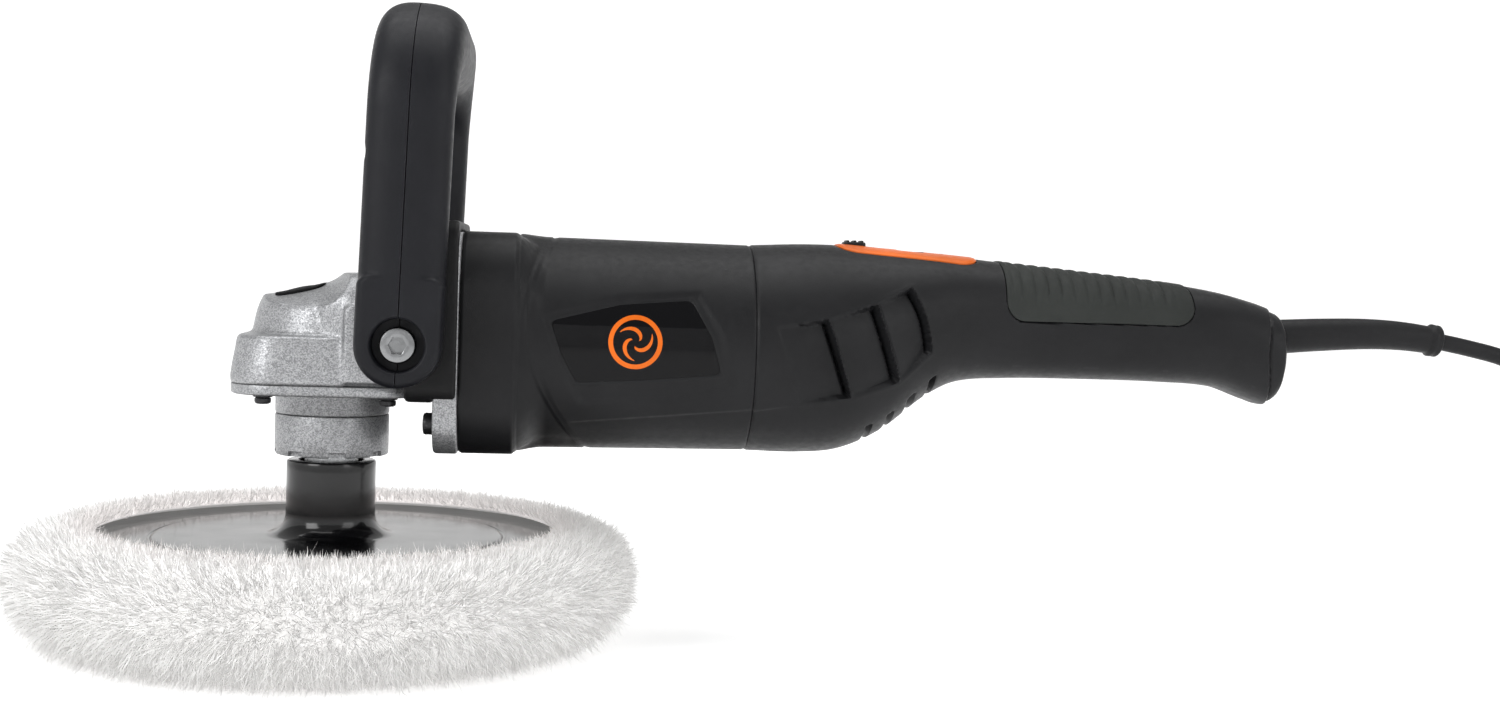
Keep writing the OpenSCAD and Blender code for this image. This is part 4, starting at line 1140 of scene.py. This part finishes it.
def tail_value(x, column):
    """Smooth value of one column of the stations."""
    xs, ys = TAIL_STATIONS[:, 0], TAIL_STATIONS[:, column]
    last = len(xs) - 1
    before = np.maximum(np.arange(last + 1) - 1, 0)
    after = np.minimum(np.arange(last + 1) + 1, last)
    slopes = (ys[after] - ys[before]) / (xs[after] - xs[before])
    i = np.clip(np.searchsorted(xs, x, side="right") - 1, 0, last - 1)
    width = xs[i + 1] - xs[i]
    t = np.clip((x - xs[i]) / width, 0, 1)
    return (ys[i] * (1 + 2 * t) * (1 - t) ** 2 + ys[i + 1] * t**2 * (3 - 2 * t)
            + width * (slopes[i] * t * (1 - t) ** 2 - slopes[i + 1] * t**2 * (1 - t)))


def tail_section(x, grow):
    """Lowest Z, highest Z, half width and roundness of the section at x."""
    roundness = 2 / (2 + 0.5 * np.clip((x - SEAM_X) / 90, 0, 1))
    return tail_value(x, 1) - grow, tail_value(x, 2) + grow, tail_value(x, 3) + grow, roundness


def tail_surface(x, a, grow=0.0):
    """Points of the tail's skin for places x and angles a, where a quarter turn is the top."""
    low, high, half, power = tail_section(x, grow)
    cos, sin = np.cos(a), np.sin(a)
    y = half * np.sign(cos) * np.abs(cos) ** power
    z = (low + high) / 2 + (high - low) / 2 * np.sign(sin) * np.abs(sin) ** power
    return np.stack([x, y, z], -1)


def louvre_depth(x, z):
    """Three panels that slope in towards the rear. A dark slot with a raised lip ends each of them."""
    u = x - (153.0 + (114.8 - z) * 0.342)
    top = np.interp(u, LOUVRE_ENDS, [114.8, 117.8, 123.4, 129.8])
    bottom = np.interp(u, LOUVRE_ENDS, [88.5, 90.9, 96.7, 107.4])
    v = np.clip((z - bottom) / (top - bottom), 0, 1)
    right = LOUVRE_ENDS[3] + 1.6 * (1 - (2 * v - 1) ** 2)
    inside = np.minimum(np.minimum(u, right - u), np.minimum(top - z, z - bottom))
    depth = np.zeros_like(x)
    for start, end in zip(LOUVRE_ENDS, (LOUVRE_ENDS[1], LOUVRE_ENDS[2], right)):
        t = (u - start) / (end - start)
        panel = (t > 0) & (t <= 1)
        slope = 0.3 + 2.7 * np.clip(t, 0, 1) ** 1.1
        slot = 2.4 * smooth_step(u, end - 2.0, end - 1.3) * (1 - smooth_step(u, end - 0.7, end - 0.3))
        depth = np.where(panel, slope + slot, depth)
    lips = sum(0.8 * np.exp(-(((u - e - 0.4) / 0.6) ** 2)) for e in LOUVRE_ENDS[1:3])
    border = 0.12 * np.exp(-(((inside + 0.7) / 0.6) ** 2))
    return (depth - lips) * smooth_step(inside, -0.1, 0.55) - border


def vent_depth(x, y, z):
    """Air slots across the underside, where the grip begins."""
    depth = np.zeros_like(x)
    for place in VENTS:
        slot = smooth_step(1.35 - np.abs(x - place), 0.0, 0.5) * smooth_step(22.5 - np.abs(y), 0.0, 1.2)
        depth = np.maximum(depth, 2.8 * slot)
    return depth * (z < 104)


def grip_low_edge(x, grow=0.0):
    """Lower edge of the rubber at x: straight, with rounded corners."""
    first, last, low, radius = GRIP
    inset = np.minimum(x - (first - grow), (last + grow) - x)
    rise = radius - np.sqrt(np.maximum(radius**2 - np.maximum(radius - inset, 0) ** 2, 0))
    return low - grow + rise


def bezel_inside(x, y):
    """How far a point is inside the control panel's outline."""
    centre, length, width, radius = BEZEL
    dx = np.abs(x - centre) - (length / 2 - radius)
    dy = np.abs(y) - (width / 2 - radius)
    corner = np.hypot(np.maximum(dx, 0), np.maximum(dy, 0)) + np.minimum(np.maximum(dx, dy), 0)
    return radius - corner


def tail_depth(x, y, z):
    """How far the skin lies below the plain section: louvres, vents, seats, grooves and seams."""
    depth = np.where(np.abs(y) > 14, louvre_depth(x, z), 0.0)
    depth += vent_depth(x, y, z)
    first, last = GRIP[0], GRIP[1]
    within = smooth_step(x, first - 0.35, first - 0.05) * (1 - smooth_step(x, last + 0.05, last + 0.35))
    within = within * smooth_step(z - grip_low_edge(np.clip(x, first, last)), -0.35, -0.05)
    depth += 1.5 * within
    depth += 0.5 * np.exp(-((bezel_inside(x, y) / 0.5) ** 2)) * (z > 120)
    groove = x - (339.6 - 0.2 * np.abs(y) + 0.08 * np.abs(z - 110))
    depth += 0.9 * smooth_step(groove, -0.9, 0.2) + 0.5 * np.exp(-((groove / 0.45) ** 2))
    depth += 1.6 * smooth_step(x, TAIL_END - 2.4, TAIL_END) ** 2
    crease_z = 85.4 + (x - SEAM_X) * 0.18
    below = smooth_step(crease_z - z, -0.4, 0.9) * smooth_step(z, 70.0, 76.0)
    depth += 0.5 * below * (1 - smooth_step(x, 152, 166))
    depth += 0.45 * (1 - smooth_step(x, SEAM_X, SEAM_X + 0.9))
    depth += 0.3 * np.exp(-((np.abs(y) / 0.35) ** 2))
    return depth


def tail_grid(angles, detail):
    """Rows along the tail, then rows that close its end down to the cord's hole."""
    grow = 0.0 if detail else -TAIL_WALL
    end = TAIL_END if detail else TAIL_INNER_END
    xs = np.linspace(SEAM_X, end, 4 * 104 + 1)
    if not detail:
        xs = xs[::4]
    x, a = np.meshgrid(xs, angles, indexing="ij")
    points = tail_surface(x, a, grow)
    centre = np.stack([x, np.zeros_like(x), (tail_value(x, 1) + tail_value(x, 2)) / 2], -1)
    normal = outward(points, centre)
    px, py, pz = points[..., 0], points[..., 1], points[..., 2]
    depth = tail_depth(px, py, pz) if detail else np.where(np.abs(py) > 12, louvre_depth(px, pz), 0.0)
    points = points - normal * depth[..., None]
    hole = np.stack([np.full(len(angles), end), CORD_HOLE_R * np.cos(angles),
                     CORD_Z + CORD_HOLE_R * np.sin(angles)], -1)
    caps = []
    for t in (0.25, 0.5, 0.75, 1.0) if detail else (1.0,):
        caps.append(points[-1] * (1 - t) + hole * t)
    return np.concatenate([points, np.array(caps)])


def tail_half(name, start):
    """One clamshell half, from the angle where its section starts, with the control panel's seat cut out."""
    steps = 4 * 46
    angles = np.radians(start + np.arange(steps + 1) * 180 / steps)
    outer = tail_grid(angles, True)
    inner = tail_grid(angles[::4], False)
    side = -1 if start == 90 else 1
    for grid in (outer, inner):
        grid[:, 0, 1] = 0
        grid[:, -1, 1] = 0
        grid[..., 1] = side * (np.abs(grid[..., 1]) + 0.1)
    half = shell(name, outer, inner)
    panel = slab("panel", BEZEL[1] + 0.2, BEZEL[2] + 0.2, BEZEL[3], 120, 160, 0.1, 0.1)
    placed(panel, (BEZEL[0], 0, 0))
    return cut(half, panel)


def build_tail():
    """Two clamshell halves, with the screws that hold them let into the far one."""
    near = tail_half("tail_near", 90)
    far = tail_half("tail_far", -90)
    seats = []
    screws = []
    for x, z, depth in TAIL_SCREWS:
        seat = turned("seat", [(0, 0), (3.7, 0), (3.8, 0.2), (3.8, 30), (0, 30)], steps=48)
        seats.append(placed(seat, (x, depth, z), (0, 1, 0), (1, 0, 0)))
        screw = cap_screw("screw", 3.4, 2.4, 1.6, 1.6, 20)
        screws.append(placed(screw, (x, depth, z), (0, -1, 0), (1, 0, 0)))
    cut(far, *seats)
    shade_by_angle(near, 50)
    shade_by_angle(far, 50)
    dress(near, "housing_black", replaces=["tail_left"])
    dress(far, "housing_black", replaces=["tail_right"])
    dress(shade_by_angle(joined("clamshell_screws", screws), 40), "black_screw", replaces=["tail_screws"])


def build_overmold():
    """Ribbed rubber over the top of the grip."""
    rows, cols = 4 * 46 + 1, 4 * 30 + 1
    xs = np.linspace(GRIP[0] + 0.05, GRIP[1] - 0.05, rows)
    spread = np.linspace(-1, 1, cols)
    layers = []
    for grow, pick in ((0.5, 1), (-1.45, 4)):
        x = xs[::pick]
        s = spread[::pick]
        low, high, _, power = tail_section(x, grow)
        level = (grip_low_edge(x) - (low + high) / 2) / ((high - low) / 2)
        bottom = np.arcsin(np.sign(level) * np.abs(level) ** (1 / power))
        a = np.pi / 2 + (np.pi / 2 - bottom)[:, None] * s[None, :]
        grid_x = np.repeat(x[:, None], len(s), 1)
        points = tail_surface(grid_x, a, grow)
        if pick == 1:
            centre = np.stack([grid_x, 0 * grid_x, 0 * grid_x + CORD_Z], -1)
            normal = outward(points, centre)
            fade = smooth_step(points[..., 2], 123.5, 130.5)
            ridge = np.abs(np.sin((grid_x - RIB_FIRST) * math.pi / RIB_PITCH)) ** 0.7
            inside = smooth_step(grid_x, RIB_FIRST, RIB_FIRST + 1.5)
            inside = inside * (1 - smooth_step(grid_x, RIB_LAST - 1.5, RIB_LAST))
            depth = 0.95 * (1 - ridge) * fade * inside
            rim = np.minimum(grid_x - GRIP[0], GRIP[1] - grid_x)
            rim = np.minimum(rim, points[..., 2] - grip_low_edge(grid_x))
            depth += 0.5 * np.exp(-((rim / 0.45) ** 2))
            points = points - normal * depth[..., None]
        layers.append(points)
    rubber = shell("grip_rubber_cover", layers[0], layers[1])
    shade_by_angle(rubber, 60)
    dress(rubber, "grip_rubber", replaces=["grip_overmold"])


def build_bezel():
    """Orange control panel let into the top of the tail, with openings for its controls."""
    centre, length, width, radius = BEZEL
    rows, cols = 4 * 32 + 1, 4 * 20 + 1
    layers = []
    for grow, pick in ((0.55, 1), (-2.6, 4)):
        t = np.linspace(-1, 1, rows)[::pick]
        s = np.linspace(-1, 1, cols)[::pick]
        x = centre + length / 2 * t
        inset = length / 2 - np.abs(x - centre)
        corner = np.sqrt(np.maximum(radius**2 - np.maximum(radius - inset, 0) ** 2, 0.04))
        half = width / 2 - radius + corner
        y = half[:, None] * s[None, :]
        grid_x = np.repeat(x[:, None], len(s), 1)
        low, high, half_width, power = tail_section(grid_x, grow)
        cos = np.clip(np.abs(y) / half_width, 0, 1) ** (1 / power)
        sin = np.sqrt(1 - cos**2)
        z = (low + high) / 2 + (high - low) / 2 * sin**power
        if pick == 1:
            z = z - 0.55 * np.exp(-((bezel_inside(grid_x, y) / 0.55) ** 2))
        layers.append(np.stack([grid_x, y, z], -1))
    panel = shell("control_panel", layers[0], layers[1])
    slot = placed(slab("slot", 16.5, 8, 1.2, 120, 160, 0.1, 0.1), (188.25, 0, 0))
    window = placed(slab("window", 10.1, 13.1, 1.5, 120, 160, 0.1, 0.1), (WINDOW_X, 0, 0))
    cutters = [slot, window]
    for x, _ in SPEED_KEYS.values():
        key_hole = turned("key_hole", [(0, 120), (KEY_HOLE_R, 120), (KEY_HOLE_R, 160), (0, 160)], steps=48)
        cutters.append(placed(key_hole, (x, 0, 0)))
    cut(panel, *cutters)
    dress(shade_by_angle(panel, 40), "orange_plastic", replaces=["control_bezel"])
    glass = placed(slab("display_pane", 10, 13, 1.5, 138.6, 142.5, 0.2, 0.4), (WINDOW_X, 0, 0))
    dress(shade_by_angle(glass, 40), "display_glass", replaces=["display_window"])
    for way, (x, top) in SPEED_KEYS.items():
        key = turned(f"key_{way}", [(0, BOARD_TOP), (2.85, BOARD_TOP), (2.85, top - 0.5), (2.7, top - 0.15),
                                    (2.3, top), (1.6, top - 0.1), (0, top - 0.25)], steps=48)
        key = shade_by_angle(placed(key, (x, 0, 0)), 40)
        dress(key, "dark_plastic", f"speed_{way}_key", replaces=[f"speed_{way}"])


def build_slider():
    """Thumb piece of the power switch, with three ribs across it."""
    base = slab("thumb", 8, 7.4, 1.2, 132.2, 145.4, 0.3, 0.7)
    ribs = [placed(slab("rib", 1.1, 6.4, 0.4, 145, 145.95, 0.05, 0.35), (-1.9 + 2.6 * i - 0.7, 0, 0))
            for i in range(3)]
    thumb = placed(joined("thumb_switch", [base] + ribs), (184.4, 0, 0))
    shade_by_angle(thumb, 40)
    dress(thumb, "dark_plastic", "power_switch", replaces=["power_slider"])


# ---------- side handle ----------

HANDLE_LEAN = math.radians(1.7)
LEG_MID, LEG_HALF, LEG_IN, LEG_OUT = 49.2, 8.0, 41.2, 57.2
BAR_HALF, BAR_Z, BEND_R, BAR_BULGE = 14.0, 101.0, 26.0, 2.4
LEG_HALF_WIDTH = 14.2
BOLT_RECESS = 8.0
LUG_TOP = 22.0
SHELL_SCREWS = ((-LEG_MID, 62), (LEG_MID, 62), (0, BAR_Z))  # Y and Z of the screws that join the halves


def handle_stations():
    """Stations round the loop: Y, Z, direction of the outer face, half thickness, rear half width."""
    stations = []
    leg = [(LEG_MID, z, 0.0, LEG_HALF, LEG_HALF_WIDTH) for z in np.arange(LUG_TOP - 8, BAR_Z - BEND_R, 2.0)]
    bend = []
    for degrees in np.arange(0, 91, 3.0):
        a = math.radians(degrees)
        k = degrees / 90
        k = k * k * (3 - 2 * k) * 0.5 + k * 0.5
        bend.append((LEG_MID - BEND_R + BEND_R * math.cos(a), BAR_Z - BEND_R + BEND_R * math.sin(a), a,
                     LEG_HALF + (BAR_HALF - LEG_HALF) * k, LEG_HALF_WIDTH + BAR_BULGE * k))
    half = leg + bend
    for y, z, a, t, w in half:
        stations.append((y, z, a, t, w))
    for y, z, a, t, w in reversed(half):
        stations.append((-y, z, math.pi - a, t, w))
    return stations


def handle_ring(station, count=48):
    y, z, a, thick, rear = station
    angles = np.arange(count) * 2 * math.pi / count
    cos, sin = np.cos(angles), np.sin(angles)
    across = np.sign(cos) * np.abs(cos) ** 0.72 * np.where(cos > 0, rear, LEG_HALF_WIDTH)
    out = np.sign(sin) * np.abs(sin) ** 0.8 * thick
    return np.stack([across, y + out * math.cos(a), z + out * math.sin(a)], -1)


def build_handle():
    """D-shaped handle in two halves that meet at a fine seam round the loop."""
    pieces = [loft("loop", [handle_ring(s) for s in handle_stations()])]
    for side in (-1, 1):
        lug = []
        for inset, y in ((1.6, LEG_IN), (0.5, LEG_IN + 0.4), (0, LEG_IN + 1.4), (0, LEG_OUT - 2.6),
                         (0.5, LEG_OUT - 1.2), (1.3, LEG_OUT - 0.35), (2.4, LEG_OUT)):
            r = LEG_HALF_WIDTH - inset
            arc = [(r * math.cos(a), r * math.sin(a)) for a in np.linspace(math.pi, 2 * math.pi, 33)]
            outline = np.array(arc + [(r, 12.0), (r, LUG_TOP - 2), (r - 2, LUG_TOP), (-r + 2, LUG_TOP),
                                      (-r, LUG_TOP - 2), (-r, 12.0)])
            lug.append(np.column_stack([outline[:, 0], np.full(len(outline), side * y), outline[:, 1]]))
        pieces.append(loft("lug", lug))
    body = remeshed(joined("handle", pieces), 0.75, 2)
    bore = turned("bore", [(0, -80), (4.3, -80), (4.3, 80), (0, 80)], steps=64)
    cutters = [placed(bore, (0, 0, 0), (0, 1, 0), (1, 0, 0))]
    floor = LEG_OUT - BOLT_RECESS
    recess_profile = [(0, floor), (8.6, floor), (8.8, floor + 0.4), (8.8, LEG_OUT - 1.0)]
    recess_profile += [(9.2, LEG_OUT - 0.3), (10.4, LEG_OUT + 0.4), (10.4, 80), (0, 80)]
    for side in (-1, 1):
        recess = turned("recess", recess_profile, steps=96)
        cutters.append(placed(recess, (0, 0, 0), (0, side, 0), (1, 0, 0)))
    well_profile = [(0, -40), (3.4, -40), (3.4, -11.5), (1.65, -11.5), (1.65, 11), (0, 11)]
    for y, z in SHELL_SCREWS:
        well = turned("well", well_profile, steps=48)
        cutters.append(placed(well, (0, y, z), (1, 0, 0), (0, 1, 0)))
    cut(body, *cutters)
    lean = Matrix.Translation(Vector(BOLT) * MM) @ Matrix.Rotation(HANDLE_LEAN, 4, "Y")
    for end, side in (("front", -1), ("rear", 1)):
        half = bpy.data.objects.new(f"handle_shell_{end}", body.data.copy())
        scene.collection.objects.link(half)
        split_at_seam(half, side)
        half.data.transform(lean)
        shade_by_angle(half, 45)
        dress(half, "handle_black", "side_handle", replaces=[f"handle_{end}"])
    bpy.data.objects.remove(body)
    screws = []
    for y, z in SHELL_SCREWS:
        screws.append(placed(cap_screw("screw", 3.1, 2.0, 1.4, 1.6, 21), (-11.5, y, z), (1, 0, 0), (0, 1, 0)))
    screws = joined("handle_shell_screws", screws)
    screws.data.transform(lean)
    dress(shade_by_angle(screws, 40), "black_screw", "side_handle", replaces=["handle_screws"])


def split_at_seam(obj, side):
    """Keeps one side of the seam plane, closed, with a sliver taken off so that the seam shows."""
    work = bmesh.new()
    work.from_mesh(obj.data)
    geometry = work.verts[:] + work.edges[:] + work.faces[:]
    result = bmesh.ops.bisect_plane(work, geom=geometry, dist=1e-6, plane_co=(side * 0.14 * MM, 0, 0),
                                    plane_no=(1, 0, 0), clear_outer=side < 0, clear_inner=side > 0)
    edges = [e for e in result["geom_cut"] if isinstance(e, bmesh.types.BMEdge)]
    bmesh.ops.holes_fill(work, edges=edges, sides=0)
    bmesh.ops.recalc_face_normals(work, faces=work.faces)
    work.to_mesh(obj.data)
    work.free()


def build_handle_bolts():
    """Socket bolts that the handle tilts about."""
    bolts = []
    for side in (-1, 1):
        bolt = cap_screw("bolt", 6.0, 5.4, 3.1, 4.0, 20)
        seat = (BOLT[0], side * (LEG_OUT - BOLT_RECESS), BOLT[2])
        bolts.append(placed(bolt, seat, (0, -side, 0), (1, 0, 0)))
    dress(shade_by_angle(joined("pivot_bolts", bolts), 40), "bolt_chrome", replaces=["handle_bolts"])


# ---------- inside pieces that keep their CAD shape ----------

INSIDE = {
    "steel": ["lower_bearing_outer", "front_bearing_outer", "rear_bearing_outer", "lower_bearing_inner",
              "front_bearing_inner", "rear_bearing_inner", "bearing_balls", "hub_insert", "armature_shaft",
              "brush_springs", "lock_spring"],
    "bronze": ["top_bush"],
    "dark_plastic": ["spindle_seal", "fan_baffle", "brush_holders", "switch_body", "cord_clamp",
                     "cooling_fan"],
    "iron": ["stator_core", "rotor_core"],
    "copper": ["field_coils", "rotor_windings", "commutator"],
    "gear_steel": ["crown_gear", "pinion_gear"],
    "carbon": ["carbon_brushes"],
    "board_green": ["circuit_board"],
    "elastic": ["bonnet_elastic"],
}


def finish_inside():
    """Materials for the CAD pieces that show only when the tool is opened."""
    for material, names in INSIDE.items():
        for name in names:
            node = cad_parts[name]
            node.data.materials.clear()
            node.data.materials.append(MATERIALS[material])
            for polygon in node.data.polygons:
                polygon.material_index = 0


# ---------- studio ----------

def build_studio():
    """Pale floor that curves up into a low wall all round."""
    profile = [(0, 0), (600, 0), (1800, 0), (2600, 0)]
    for a in np.linspace(0, math.pi / 2, 12)[1:]:
        profile.append((2600 + 900 * math.sin(a), 900 * (1 - math.cos(a))))
    profile.append((3500, 1500))
    steps = 96
    angles = np.arange(steps) * 2 * math.pi / steps
    rows = np.array([np.stack([r * np.cos(angles) + 100, r * np.sin(angles), np.full(steps, z)], -1)
                     for r, z in profile])
    floor = mesh_object("floor", rows, grid_faces(len(rows), steps, wrap=True), merge=1e-7)
    material = new_material("paper", (0.86,) * 3, 0.9, Emission_Color=(1, 1, 1, 1), Emission_Strength=0.4)
    spots = remap(material, noise(material, 3.0, 2.0), 0.3, 0.7, 0.0, 1.0)
    shade(material, "Base Color", tint(material, spots, (0.85, 0.85, 0.85), (0.87, 0.87, 0.87)))
    floor.data.materials.append(material)


add_camera()
add_world()
add_area_light("overhead", (0.1, 0.05, 1.5), (0.1, 0.0, 0.1), 1.8, 1.3, 19.0)
add_area_light("left_front", (-1.1, -1.2, 0.9), (0.0, 0.0, 0.1), 0.9, 0.9, 14.0)
add_area_light("right_front", (1.4, -1.0, 0.8), (0.2, 0.0, 0.1), 0.9, 0.9, 5.0)
build_studio()
build_cord()
build_strain_relief()
build_gear_case()
build_head_badge()
build_bearing_plate()
build_neck_collar()
build_head_screws()
build_gear_shroud()
build_lock_button()
build_spindle()
build_backing_plate()
build_foam()
build_wool()
build_motor_housing()
build_labels()
build_tail()
build_overmold()
build_bezel()
build_slider()
build_handle()
build_handle_bolts()
finish_inside()
